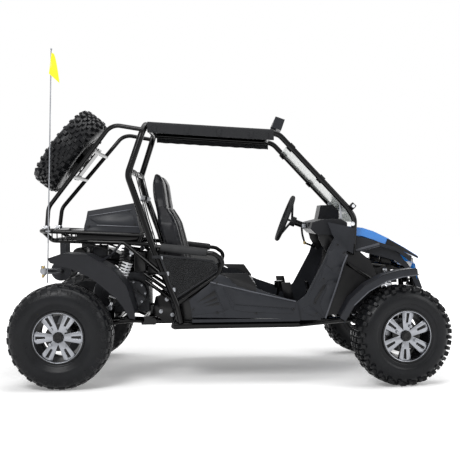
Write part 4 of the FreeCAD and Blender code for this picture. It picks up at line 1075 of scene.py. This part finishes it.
# The left net's corners in order, and its ties by X and Z
NET_Y = 0.4775
NET_CORNERS = [(-0.372, NET_Y, 0.7), (-0.08, NET_Y, 0.665)]
NET_CORNERS += [(-0.052, NET_Y, 0.61), (-0.29, NET_Y, 0.462)]
NET_TIES = [(-0.385, 0.69), (-0.352, 0.6), (-0.318, 0.512)]


def net_point(side, u, v):
    """A mesh panel between four corners, pulled in along its edges."""
    first, second, third, last = [Vector(corner) for corner in NET_CORNERS]
    point = first.lerp(second, u).lerp(last.lerp(third, u), v)
    point.y -= 0.006 * math.sin(math.pi * u) * math.sin(math.pi * v)
    return on_side(point, side)


class BUGGY_OT_nets(bpy.types.Operator):
    """Mesh panels inside the side bars, with hems and buckled ties"""

    bl_idname = "buggy.nets"
    bl_label = "Side nets"

    def execute(self, context):
        for word, side in SIDES.items():
            net = sheet_grid(f"side_net_{word}", "net", 30, 20, lambda u, v: net_point(side, u, v), 0.0016)
            settle(net, "side_nets")
            parts = []
            for start, end in zip(NET_CORNERS, NET_CORNERS[1:] + NET_CORNERS[:1]):
                parts.append(rod("net_hem", "webbing", on_side(start, side), on_side(end, side), 0.005, 10))
            for x, z in NET_TIES:
                middle = (x, side * 0.474, z)
                parts.append(block("net_tie", "webbing", middle, (0.06, 0.003, 0.016), 0.001))
                middle = (x + 0.022, side * 0.4765, z - 0.002)
                parts.append(block("net_clip", "steel", middle, (0.014, 0.006, 0.022), 0.001))
            edge = settle(joined(parts, f"net_edges_{word}"))
        return {"FINISHED"}


def flag_point(u, v):
    """A pennant that hangs from the pole's top: u across, v downwards, wider and ragged at its foot."""
    high = 1.828 - v * (0.116 + 0.046 * u) - 0.006 * u
    reach = 0.012 + 0.044 * v ** 0.7
    sway = 0.008 * math.sin(u * 5 + v * 3) * (0.3 + v)
    return Vector((-0.962 - 0.016 * v + u * reach, -0.4035 + sway * u, high))


class BUGGY_OT_flag(bpy.types.Operator):
    """Safety flag on the whip"""

    bl_idname = "buggy.flag"
    bl_label = "Flag"

    def execute(self, context):
        cloth = sheet_grid("flag_cloth", "yellow", 24, 36, flag_point, 0.0008)
        settle(cloth, "flag")
        return {"FINISHED"}


class BUGGY_OT_pads(bpy.types.Operator):
    """Foam sleeves on the side bars"""

    bl_idname = "buggy.pads"
    bl_label = "Side bar pads"

    def execute(self, context):
        for word, side in SIDES.items():
            start = on_side((-0.368, 0.4533, 0.7428), side)
            end = on_side((-0.112, 0.4858, 0.7112), side)
            pad = rod(f"side_pad_{word}", "foam", start, end, 0.0225, 40, 0.008)
            smooth(modify(pad, "SUBSURF", levels=1), 60)
            settle(pad, "side_bar_pads")
        return {"FINISHED"}


# Trim: bolts of the left rocker panel, guard and engine cover, and the light bar's face
PANEL_BOLTS = [(x, 0.5022, z) for x, z in [(-0.192, 0.404), (-0.062, 0.548), (0.352, 0.4), (0.15, 0.38)]]
PANEL_BOLTS += [(-0.06, 0.5022, 0.385), (0.478, 0.4842, 0.372), (0.472, 0.4842, 0.43), (0.634, 0.4842, 0.7)]
PANEL_BOLTS += [(0.6, 0.4842, 0.745), (0.52, 0.4842, 0.56)]
PANEL_BOLTS += [(-0.556, 0.2895, 0.942), (-0.522, 0.3225, 0.868), (-0.78, 0.3245, 0.862)]
BAR_TURN = Matrix.Rotation(math.radians(20), 4, "Y")
BAR_FACE = Vector((0.3, 0, 1.436)) + BAR_TURN @ Vector((0.0235, 0, 0))


def bar_lens(y):
    """One window of the light bar with three cups."""
    parts = [block("led", "lamp", BAR_FACE + Vector((0, y, 0)), (0.004, 0.102, 0.048), 0.0012, BAR_TURN)]
    for step in (-0.032, 0, 0.032):
        middle = BAR_FACE + Vector((0, y + step, 0)) + BAR_TURN @ Vector((0.002, 0, 0))
        cup = primitive("uv_sphere", "led_cup", segments=20, ring_count=10, radius=0.013)
        cup.data.transform(Matrix.Diagonal((0.18, 1, 1, 1)))
        parts.append(coat(smooth(moved(cup, Matrix.Translation(middle) @ BAR_TURN), 60), "chrome"))
    return parts


class BUGGY_OT_trim(bpy.types.Operator):
    """Bolts, lamps, light-bar lenses and the switches on the dash"""

    bl_idname = "buggy.trim"
    bl_label = "Bolts, lamps and switches"

    def execute(self, context):
        heads = []
        for side in SIDES.values():
            for place in PANEL_BOLTS:
                heads.append(bolt("bolt", "wheel_black", on_side(place, side), (0, side, 0), 0.006))
        settle(joined(heads, "panel_bolts"))
        lenses = [part for y in (-0.168, -0.056, 0.056, 0.168) for part in bar_lens(y)]
        settle(joined(lenses, "light_bar_lenses"))
        parts = [
            rod("key", "wheel_black", (0.478, -0.052, 0.852), (0.462, -0.052, 0.849), 0.012, 32, 0.001),
            block("key_blade", "steel", (0.453, -0.052, 0.846), (0.022, 0.003, 0.022), 0.001),
        ]
        for y in (-0.14, -0.105):
            parts.append(block("switch", "wheel_black", (0.474, y, 0.852), (0.01, 0.022, 0.028), 0.002))
        settle(joined(parts, "dash_controls"))
        return {"FINISHED"}


# Bay details: forms that stand once, then those of the left side, which are mirrored
BAY_BLOCKS = [
    ("carburettor", "iron", (-0.745, -0.1, 0.715), (0.09, 0.08, 0.07), 0.01),
    ("coil_box", "wheel_black", (-0.8, -0.2, 0.758), (0.075, 0.05, 0.04), 0.006),
    ("fuel_tank", "wheel_black", (-0.405, 0, 0.655), (0.112, 0.5, 0.15), 0.014),
    ("battery_box", "wheel_black", (-0.5, -0.19, 0.655), (0.07, 0.12, 0.12), 0.008),
    ("case_bridge", "iron", (-0.617, -0.16, 0.476), (0.15, 0.05, 0.15), 0.01),
]
BAY_RODS = [
    ("air_filter", "wheel_black", (-0.85, -0.235, 0.7), (-0.85, -0.06, 0.7), 0.04, 40, 0.008),
    ("float_bowl", "iron", (-0.745, -0.1, 0.66), (-0.745, -0.1, 0.69), 0.026, 28, 0.004),
    ("belt_case", "iron", (-0.69, -0.134, 0.48), (-0.69, -0.184, 0.48), 0.088, 48, 0.01),
    ("case_boss", "iron", (-0.69, -0.134, 0.48), (-0.69, -0.192, 0.48), 0.0352, 32, 0.004),
    ("belt_case", "iron", (-0.545, -0.134, 0.47), (-0.545, -0.196, 0.47), 0.078, 48, 0.01),
    ("case_boss", "iron", (-0.545, -0.134, 0.47), (-0.545, -0.204, 0.47), 0.0312, 32, 0.004),
]
INTAKE = [(-0.85, -0.06, 0.7), (-0.85, 0.0, 0.7), (-0.8, 0.03, 0.7), (-0.7, 0.02, 0.68)]
TAIL_PIPE = [(-0.985, -0.055, 0.6), (-0.99, -0.12, 0.6), (-1.02, -0.2, 0.605), (-1.062, -0.25, 0.61)]
DOWN_PIPE = [(-0.66, 0.02, 0.64), (-0.74, -0.02, 0.66), (-0.86, -0.03, 0.62), (-0.93, -0.01, 0.605)]
CABLES = [
    [(-0.745, -0.135, 0.735), (-0.735, -0.21, 0.765), (-0.68, -0.25, 0.762), (-0.62, -0.25, 0.735)],
    [(-0.8, -0.23, 0.758), (-0.76, -0.27, 0.752), (-0.7, -0.26, 0.735), (-0.65, -0.22, 0.7)],
    [(-0.745, -0.1, 0.76), (-0.7, -0.11, 0.785), (-0.64, -0.1, 0.775), (-0.56, -0.14, 0.76)],
    [(-0.62, -0.13, 0.56), (-0.6, -0.2, 0.52), (-0.52, -0.23, 0.48), (-0.47, -0.2, 0.44)],
]
TAIL_BRACKET = [(-1.066, 0.64), (-1.044, 0.644), (-1.026, 0.6), (-1.056, 0.566)]
CASE_MIDDLE = (-0.545, 0.47)
CASE_BOLT_RING = 0.066

PIVOT_WEB = [(-0.415, 0.455), (-0.345, 0.475), (-0.292, 0.41), (-0.275, 0.325), (-0.375, 0.318)]
PIVOT_WEB += [(-0.435, 0.365)]
SPLASH = [(0.6, 0.69), (0.742, 0.7), (0.8, 0.65), (0.838, 0.56), (0.8, 0.44), (0.7, 0.36)]
SPLASH += [(0.56, 0.345), (0.535, 0.42), (0.59, 0.56)]
INNER_GUARD = [(0.69, 0.64), (0.76, 0.66), (0.88, 0.62), (0.96, 0.56), (0.96, 0.52), (0.86, 0.52)]
INNER_GUARD += [(0.72, 0.56)]
RACK_WEB = [(-0.85, 0.824), (-0.48, 0.806), (-0.49, 0.774), (-0.56, 0.77), (-0.85, 0.78)]
KICK = [(0.5, 0.838), (0.6, 0.838), (0.64, 0.74), (0.56, 0.69), (0.52, 0.76)]
FLOOR_STRIP = [(0.3, 0.53), (0.352, 0.53), (0.372, 0.43), (0.316, 0.43)]
SEAT_BASE = [(-0.3, 0.34), (-0.12, 0.34), (-0.095, 0.56), (-0.205, 0.58), (-0.262, 0.47)]
SIDE_PLATES = [
    ("rack_side", "frame", RACK_WEB, 0.326, 0.003),
    ("splash_plate", "wheel_black", SPLASH, 0.33, 0.004),
    ("kick_panel", "wheel_black", KICK, 0.298, 0.004),
    ("floor_strip", "wheel_black", FLOOR_STRIP, 0.3, 0.004),
    ("inner_guard", "wheel_black", INNER_GUARD, 0.262, 0.003),
    ("pivot_plate", "frame", PIVOT_WEB, 0.262, 0.006),
    ("pivot_inner", "frame", PIVOT_WEB, 0.215, 0.006),
    ("seat_base", "wheel_black", SEAT_BASE, 0.44, 0.004),
]
SIDE_RODS = [
    ("post_collar", "chrome", (-1.038, 0.207, 0.845), (-1.038, 0.207, 0.867), 0.0185, 28, 0.002),
    ("bay_brace", "frame", (0.668, 0.338, 0.636), (0.812, 0.338, 0.54), 0.011, 20),
    ("bay_strut", "frame", (-0.296, 0.3, 0.425), (-0.47, 0.262, 0.548), 0.0105, 20),
    ("bay_strut", "frame", (-0.31, 0.3, 0.47), (-0.48, 0.262, 0.59), 0.0105, 20),
]
BRAKE_LINE = [(0.905, 0.2, 0.61), (0.93, 0.25, 0.52), (0.93, 0.33, 0.42), (0.91, 0.38, 0.36)]
PIVOT_BOLTS = [(-0.385, 0.263, 0.372), (-0.32, 0.263, 0.352), (-0.35, 0.263, 0.44)]
BRIGHT = ("steel", "chrome", "brass")


def bay_middle():
    """Intake, carburettor, belt case, exhaust and the boxes behind the seats."""
    made = [block(*form) for form in BAY_BLOCKS] + [rod(*form) for form in BAY_RODS]
    made += [hose("cable", "foam", run, 0.0055) for run in CABLES]
    made.append(hose("intake", "foam", INTAKE, 0.024))
    made.append(hose("tail_pipe", "steel", TAIL_PIPE, 0.017))
    made.append(hose("exhaust_pipe", "iron", DOWN_PIPE, 0.018))
    made.append(plate("tail_bracket", "steel", TAIL_BRACKET, -0.268, 0.005))
    for x, z in [(-1.05, 0.632), (-1.052, 0.582)]:
        made.append(bolt("tail_bolt", "brass", (x, -0.269, z), (0, -1, 0), 0.0065))
    for n in range(8):
        turn = n * math.pi / 4
        x = CASE_MIDDLE[0] + CASE_BOLT_RING * math.cos(turn)
        z = CASE_MIDDLE[1] + CASE_BOLT_RING * math.sin(turn)
        made.append(bolt("case_bolt", "steel", (x, -0.197, z), (0, -1, 0), 0.0045))
    return made


def bay_side(side):
    """Plates, struts, rack bars, reservoir and bolts of one side."""
    made = [plate(name, finish, outline, side * y, wall) for name, finish, outline, y, wall in SIDE_PLATES]
    for name, finish, start, end, *sizes in SIDE_RODS:
        made.append(rod(name, finish, on_side(start, side), on_side(end, side), *sizes))
    for n in range(5):
        x = -0.875 - n * 0.028
        made.append(rod("rack_bar", "frame", (x, side * 0.322, 0.786), (x, side * 0.326, 0.826), 0.0035, 10))
    made.append(block("reservoir", "wheel_black", (0.905, side * 0.2, 0.64), (0.06, 0.05, 0.05), 0.008))
    made.append(hose("brake_line", "foam", [on_side(point, side) for point in BRAKE_LINE], 0.005))
    made.append(bolt("post_bolt", "chrome", (-1.06, side * 0.207, 0.856), (-1, 0, 0)))
    for place in PIVOT_BOLTS:
        made.append(bolt("pivot_bolt", "steel", on_side(place, side), (0, side, 0), 0.0085))
    return made


class BUGGY_OT_bay(bpy.types.Operator):
    """Engine bay parts, splash plates, rack sides, clamps and the tail pipe"""

    bl_idname = "buggy.bay"
    bl_label = "Bay and rack details"

    def execute(self, context):
        parts = bay_middle() + bay_side(SIDES["left"]) + bay_side(SIDES["right"])
        metals = [finishes()[name] for name in BRIGHT]
        bright = [part for part in parts if part.data.materials[0] in metals]
        dark = [part for part in parts if part not in bright]
        settle(joined(dark, "bay_parts"))
        settle(joined(bright, "rack_clamps"))
        return {"FINISHED"}


# Raised faces of the left side's panels: outline, crest and height, in X and Z
REAR_CORNER = [(-0.214, 0.455), (-0.097, 0.545), (-0.08, 0.528), (-0.028, 0.392), (-0.194, 0.372)]
UPPER_CORNER = [(-0.087, 0.552), (-0.045, 0.594), (0.008, 0.566), (0.042, 0.513), (-0.032, 0.534)]
ROCKER_FACETS = [
    (REAR_CORNER, (-0.1, 0.45), 0.0008),
    (UPPER_CORNER, (-0.03, 0.556), 0.004),
    ([(-0.076, 0.524), (-0.034, 0.53), (0.018, 0.412), (-0.024, 0.394)], (-0.022, 0.466), 0.005),
    ([(-0.028, 0.53), (0.042, 0.509), (0.367, 0.432), (0.354, 0.404), (0.034, 0.43)], (0.11, 0.452), 0.007),
    ([(0.034, 0.425), (0.352, 0.399), (0.346, 0.376), (0.122, 0.384), (0.024, 0.4)], (0.15, 0.398), 0.004),
]
ROCKER_HUMP = [(-0.045, 0.6), (0.106, 0.596), (0.152, 0.53), (0.15, 0.496), (0.046, 0.521), (0.01, 0.57)]
ROCKER_VENTS = [
    [(-0.173, 0.441), (-0.074, 0.508), (-0.067, 0.48)],
    [(-0.148, 0.43), (-0.064, 0.47), (-0.058, 0.452)],
    [(-0.13, 0.42), (-0.052, 0.444), (-0.05, 0.426)],
]
ROCKER_EDGE = [(-0.097, 0.551), (0.042, 0.517), (0.2, 0.479), (0.368, 0.44)]
CHEEK = [(0.55, 0.706), (0.572, 0.728), (0.648, 0.696), (0.622, 0.628), (0.575, 0.604), (0.536, 0.64)]
WAIST = [(0.496, 0.545), (0.533, 0.634), (0.573, 0.6), (0.612, 0.6), (0.598, 0.545), (0.537, 0.543)]
SHIN = [(0.538, 0.536), (0.594, 0.538), (0.58, 0.486), (0.53, 0.352), (0.498, 0.424), (0.536, 0.506)]
TOE = [(0.449, 0.416), (0.518, 0.35), (0.426, 0.366), (0.404, 0.396)]
GUARD_FACETS = [
    (CHEEK, (0.6, 0.676), 0.005),
    (WAIST, (0.556, 0.578), 0.004),
    (SHIN, (0.55, 0.452), 0.005),
    (TOE, (0.455, 0.38), 0.004),
]
GUARD_SLOT = [(0.533, 0.526), (0.521, 0.53), (0.465, 0.441), (0.477, 0.434)]
GUARD_EDGE = [(0.652, 0.69), (0.63, 0.64), (0.605, 0.559), (0.584, 0.498), (0.528, 0.345)]
ARCH_LIP = [(0.858, 0.737), (0.78, 0.716), (0.706, 0.697)]
FENDER_LINE = [(0.59, 0.372), (0.643, 0.46), (0.722, 0.532), (0.816, 0.584), (0.9, 0.606), (0.985, 0.616)]
HOOD_BAND = [(0.896, 0.736), (0.908, 0.768), (0.917, 0.766), (1.009, 0.7145), (1.089, 0.664), (1.089, 0.654)]
HOOD_BAND += [(1.009, 0.692), (0.917, 0.726)]
NOSE_STRIP = [(0.9645, 0.701), (0.989, 0.69), (1.025, 0.643), (1.064, 0.625), (1.088, 0.527), (1.071, 0.574)]
NOSE_STRIP += [(1.031, 0.597), (1.003, 0.6435)]
COVER_PANEL = [(-0.778, 0.908), (-0.548, 0.942), (-0.502, 0.864), (-0.728, 0.874)]
COVER_SKIRT = [(-0.792, 0.846), (-0.735, 0.862), (-0.497, 0.848), (-0.486, 0.808), (-0.798, 0.828)]
COVER_FACETS = [
    (COVER_PANEL, (-0.64, 0.9), 0.003),
    (COVER_SKIRT, (-0.64, 0.836), 0.005),
]
COVER_EDGES = [[(-0.782, 0.92), (-0.54, 0.954)], [(-0.735, 0.868), (-0.497, 0.855)]]


def cover_half(x, z):
    """How far the engine cover's side is from the middle, by height."""
    if z < 0.866:
        return 0.324
    return 0.324 - (z - 0.866) * 0.706 if z < 0.9 else 0.3 - (z - 0.9) * 0.14


def hood_half(x, z):
    """How far the hood's side is from the middle."""
    return 0.318 - (x - 0.68) * 0.2214


def nose_half(x, z):
    """How far the nose's side is from the middle."""
    return 0.215 + 0.055 * min(1.0, max(0.0, (z - 0.575) / 0.045))


def rocker_trim(side):
    """Facets, vents and the edge of a rocker panel, the edge painted paler as a highlight."""
    face = side * 0.5055
    made = [facet("rocker_facet", "plastic", line, crest, face, rise) for line, crest, rise in ROCKER_FACETS]
    # the vents are dark plates on the panel's face: painted shade for the recessed louvre slots
    made += [plate("rocker_vent", "wheel_black", line, side * 0.5073, 0.002, 0.0004) for line in ROCKER_VENTS]
    made.append(facet("rocker_hump", "wheel_black", ROCKER_HUMP, (0.06, 0.56), face, 0.003))
    # pale strip along the crease: painted highlight where light catches the edge
    made.append(banded("rocker_edge", "lip", ROCKER_EDGE, side * 0.5065, 0.007, 0.0045))
    return made


def cover_trim(side):
    """Facets of the engine cover, and its edges as pale strips of painted highlight."""
    made = []
    for line, crest, rise in COVER_FACETS:
        made.append(facet("cover_facet", "plastic", line, crest, side * 0.0025, rise, 0.002))
    # pale strips along the creases: painted highlight
    made += [banded("cover_edge", "lip", line, side * 0.0045, 0.005, 0.004) for line in COVER_EDGES]
    return [swept_in(piece, side, cover_half) for piece in made]


def guard_trim(side):
    """Facets, slot and edges of a front guard, its arch and its fender, and the hood's dark band; the slot is
    a dark plate of painted shade, and the edges and the arch's lip are pale strips of painted highlight.
    """
    face = side * 0.4872
    made = [facet("guard_facet", "plastic", line, crest, face, rise) for line, crest, rise in GUARD_FACETS]
    # the slot is a dark plate on the face: painted shade for a groove along the crease
    made.append(plate("guard_slot", "wheel_black", GUARD_SLOT, side * 0.4897, 0.002, 0.0004))
    # pale strips on the guard's edge and the arch's lip: painted highlight
    made.append(banded("guard_edge", "lip", GUARD_EDGE, side * 0.4895, 0.009, 0.0055))
    made.append(banded("arch_lip", "lip", ARCH_LIP, side * 0.3045, 0.022, 0.0045))
    skirt = [(x + 0.007, z - 0.013) for x, z in FENDER_LINE]
    made.append(banded("fender_skirt", "plastic", skirt, side * 0.6962, 0.034, 0.003))
    edge = [(x + 0.014, z - 0.027) for x, z in FENDER_LINE[1:]]
    # the fender's lower edge, pale: painted highlight
    made.append(banded("fender_edge", "lip", edge, side * 0.6985, 0.006, 0.003))
    band = plate("hood_band", "wheel_black", HOOD_BAND, side * 0.003, 0.002, 0.0005)
    made.append(swept_in(band, side, hood_half))
    return made


class BUGGY_OT_bodywork(bpy.types.Operator):
    """Raised lips and facets on the guards, the rocker panels and the hood sides"""

    bl_idname = "buggy.bodywork"
    bl_label = "Bodywork lips"

    def execute(self, context):
        lips = []
        blue = []
        for side in SIDES.values():
            lips += rocker_trim(side) + cover_trim(side) + guard_trim(side)
            strip = plate("nose_strip", "blue", NOSE_STRIP, side * 0.003, 0.002, 0.0005)
            blue.append(swept_in(strip, side, nose_half))
        settle(joined(lips, "body_facets"))
        settle(joined(blue, "nose_strips"))
        return {"FINISHED"}


SCREEN_FOOT = [(0.65, 0.88), (0.636, 0.88), (0.634, 0.985), (0.648, 0.985)]
BRAKE_LEVER = [(0.462, 0.236, 0.842), (0.466, 0.236, 0.79), (0.48, 0.236, 0.737), (0.545, 0.236, 0.711)]


class BUGGY_OT_fittings(bpy.types.Operator):
    """Brackets and bolts at the windscreen's foot, and the hand-brake linkage under the column"""

    bl_idname = "buggy.fittings"
    bl_label = "Screen and column fittings"

    def execute(self, context):
        made = []
        for side in SIDES.values():
            out = (0, side, 0)
            top = (0.69, side * 0.352, 0.966)
            made.append(plate("screen_foot", "steel", SCREEN_FOOT, side * 0.3, 0.004))
            made.append(rod("screen_clamp", "wheel_black", top, (0.712, top[1], 0.944), 0.0185, 28, 0.003))
            made.append(bolt("screen_bolt", "chrome", (0.704, side * 0.371, 0.956), out, 0.007))
            made.append(bolt("pillar_bolt", "chrome", (0.699, side * 0.369, 0.857), out, 0.009))
        for start, end in zip(BRAKE_LEVER, BRAKE_LEVER[1:]):
            made.append(rod("brake_lever", "frame", start, end, 0.0065, 16, 0.001))
        made.append(bolt("brake_pin", "brass", (0.48, 0.229, 0.737), (0, -1, 0)))
        settle(joined(made, "screen_fittings"))
        return {"FINISHED"}


# Stage
class BuggyStage(bpy.types.PropertyGroup):
    camera_distance: bpy.props.FloatProperty(
        name="Camera distance",
        description="From the camera to the vehicle's centre plane",
        default=5.6,
        unit="LENGTH",
    )
    camera_height: bpy.props.FloatProperty(
        name="Camera height",
        description="Height of the camera above the floor",
        default=0.904,
        unit="LENGTH",
    )
    camera_roll: bpy.props.FloatProperty(
        name="Camera roll",
        description="Turn of the camera about its own axis",
        default=math.radians(0.764),
        subtype="ANGLE",
    )


# The photograph's frame, its focal length and the foot point of the camera, in pixels
FRAME_PX = 460
FOCAL_PX = 937.6
FOOT_PX = (225.5, 217.0)
SENSOR = 36
WHITE = (1, 1, 1, 1)

# The floor's own glow under the vehicle, and the distances from its middle over which it grows to white
FLOOR_NEAR = 0.2
SHADE_START = 1.2
SHADE_END = 3.2

# Name, place, point of aim, width and watts of each lamp
LAMPS = [
    ("key_light", (-2.0, -4.5, 4.2), (0, 0, 0.6), 2.2, 190),
    ("top_light", (0.4, 0.2, 5.0), (0, 0, 0.4), 3.6, 150),
    ("front_light", (4.5, -2.5, 2.6), (0.4, 0, 0.7), 2.4, 70),
    ("back_light", (2.5, 4.5, 3.2), (0, 0, 0.7), 3.0, 70),
]


class BUGGY_OT_stage(bpy.types.Operator):
    """Floor, studio light and the camera at the photograph's angle"""

    bl_idname = "buggy.stage"
    bl_label = "Studio"

    def execute(self, context):
        scene = context.scene
        sizes = scene.buggy_stage
        scene.view_settings.view_transform = "Standard"
        deselect()
        bpy.ops.mesh.primitive_plane_add(size=60, location=(0, 0, 0))
        floor = context.object
        floor.name = "studio_floor"
        floor.data.materials.append(pale_floor())
        white_world(scene)
        for lamp in LAMPS:
            studio_lamp(*lamp)
        bpy.ops.object.camera_add(location=(-0.01, -sizes.camera_distance, sizes.camera_height))
        camera = context.object
        camera.rotation_euler = (math.radians(90), sizes.camera_roll, 0)
        camera.data.sensor_width = SENSOR
        camera.data.lens = SENSOR * FOCAL_PX / FRAME_PX
        camera.data.shift_x = (FRAME_PX / 2 - FOOT_PX[0]) / FRAME_PX
        camera.data.shift_y = (FOOT_PX[1] - FRAME_PX / 2) / FRAME_PX
        scene.camera = camera
        return {"FINISHED"}


def pale_floor():
    """Matt white paper: white where it is lit, grey in the vehicle's shadow."""
    material, tree = new_material("white_paper_floor")
    paper = add_node(tree, "BsdfDiffuse", {"Color": linear("#f7f7f7")})
    place = add_node(tree, "TexCoord", out="Object")
    far = add_node(tree, "VectorMath", {"operation": "LENGTH"}, {0: place}, "Value")
    fade = {"interpolation_type": "SMOOTHSTEP", "To Min": FLOOR_NEAR, "To Max": 1.0}
    fade.update({"From Min": SHADE_START, "From Max": SHADE_END})
    open_air = add_node(tree, "MapRange", fade, {"Value": far})
    level = add_node(tree, "Math", {"operation": "MULTIPLY"}, {0: seen_plainly(tree), 1: open_air})
    glow = add_node(tree, "Emission", {"Color": WHITE}, {"Strength": level})
    return shown(material, add_node(tree, "AddShader", None, {0: paper, 1: glow}))


def white_world(scene):
    """A white backdrop that lights the vehicle softly."""
    world = bpy.data.worlds.new("studio_world")
    scene.world = world
    world.use_nodes = True
    tree = world.node_tree
    tree.nodes.clear()
    level = add_node(tree, "MapRange", {"To Min": 0.38, "To Max": 1.0}, {"Value": seen_plainly(tree)})
    sky = add_node(tree, "Background", {"Color": WHITE}, {"Strength": level})
    add_node(tree, "OutputWorld", None, {"Surface": sky})


def studio_lamp(name, place, aim, width, watts):
    """A large soft lamp that looks at a point."""
    bpy.ops.object.light_add(type="AREA", location=place)
    lamp = bpy.context.object
    lamp.name = name
    lamp.data.size = width
    lamp.data.energy = watts
    lamp.rotation_euler = (Vector(aim) - Vector(place)).to_track_quat("-Z", "Y").to_euler()


# Nodes whose finish differs from their slot's usual one
NODE_FINISH = {
    "spare_mount": "frame",
    "muffler": "iron",
    "steering_column": "frame",
    # the dash, fenders and floor pan take the darker plastic: painted shade for parts in low light, on the
    # fenders partly their own darker plastic
    "dashboard": "fender",
    "rear_fenders": "fender",
    "front_fenders": "fender",
    "floor_pan": "fender",
}


class BUGGY_OT_finishes(bpy.types.Operator):
    """Finish of every solid that is carried over from the frame"""

    bl_idname = "buggy.finishes"
    bl_label = "Finishes"

    def execute(self, context):
        slots = {entry["node"]: entry["material_slot"] for entry in frame["record"]["subparts"]}
        for name, piece in NODES.items():
            material = finishes()[NODE_FINISH.get(name, SLOT_FINISH[slots[name]])]
            for place in piece.material_slots:
                place.material = material
            if not piece.material_slots:
                piece.data.materials.append(material)
        return {"FINISHED"}


class BUGGY_PT_panel(bpy.types.Panel):
    bl_label = "Off-road buggy"
    bl_idname = "BUGGY_PT_panel"
    bl_space_type = "VIEW_3D"
    bl_region_type = "UI"
    bl_category = "Buggy"

    def draw(self, context):
        for operator in OPERATORS:
            self.layout.operator(operator.bl_idname)


OPERATORS = [
    BUGGY_OT_finishes,
    BUGGY_OT_wheels,
    BUGGY_OT_shocks,
    BUGGY_OT_seats,
    BUGGY_OT_belts,
    BUGGY_OT_roof,
    BUGGY_OT_nets,
    BUGGY_OT_flag,
    BUGGY_OT_pads,
    BUGGY_OT_trim,
    BUGGY_OT_bay,
    BUGGY_OT_bodywork,
    BUGGY_OT_fittings,
    BUGGY_OT_stage,
]
CLASSES = [BuggyStage, BUGGY_PT_panel] + OPERATORS


def register():
    for entry in CLASSES:
        bpy.utils.register_class(entry)
    bpy.types.Scene.buggy_stage = bpy.props.PointerProperty(type=BuggyStage)


def unregister():
    del bpy.types.Scene.buggy_stage
    for entry in reversed(CLASSES):
        bpy.utils.unregister_class(entry)


def main():
    register()
    for operator in OPERATORS:
        group, name = operator.bl_idname.split(".")
        getattr(getattr(bpy.ops, group), name)()


if __name__ == "__main__":
    main()
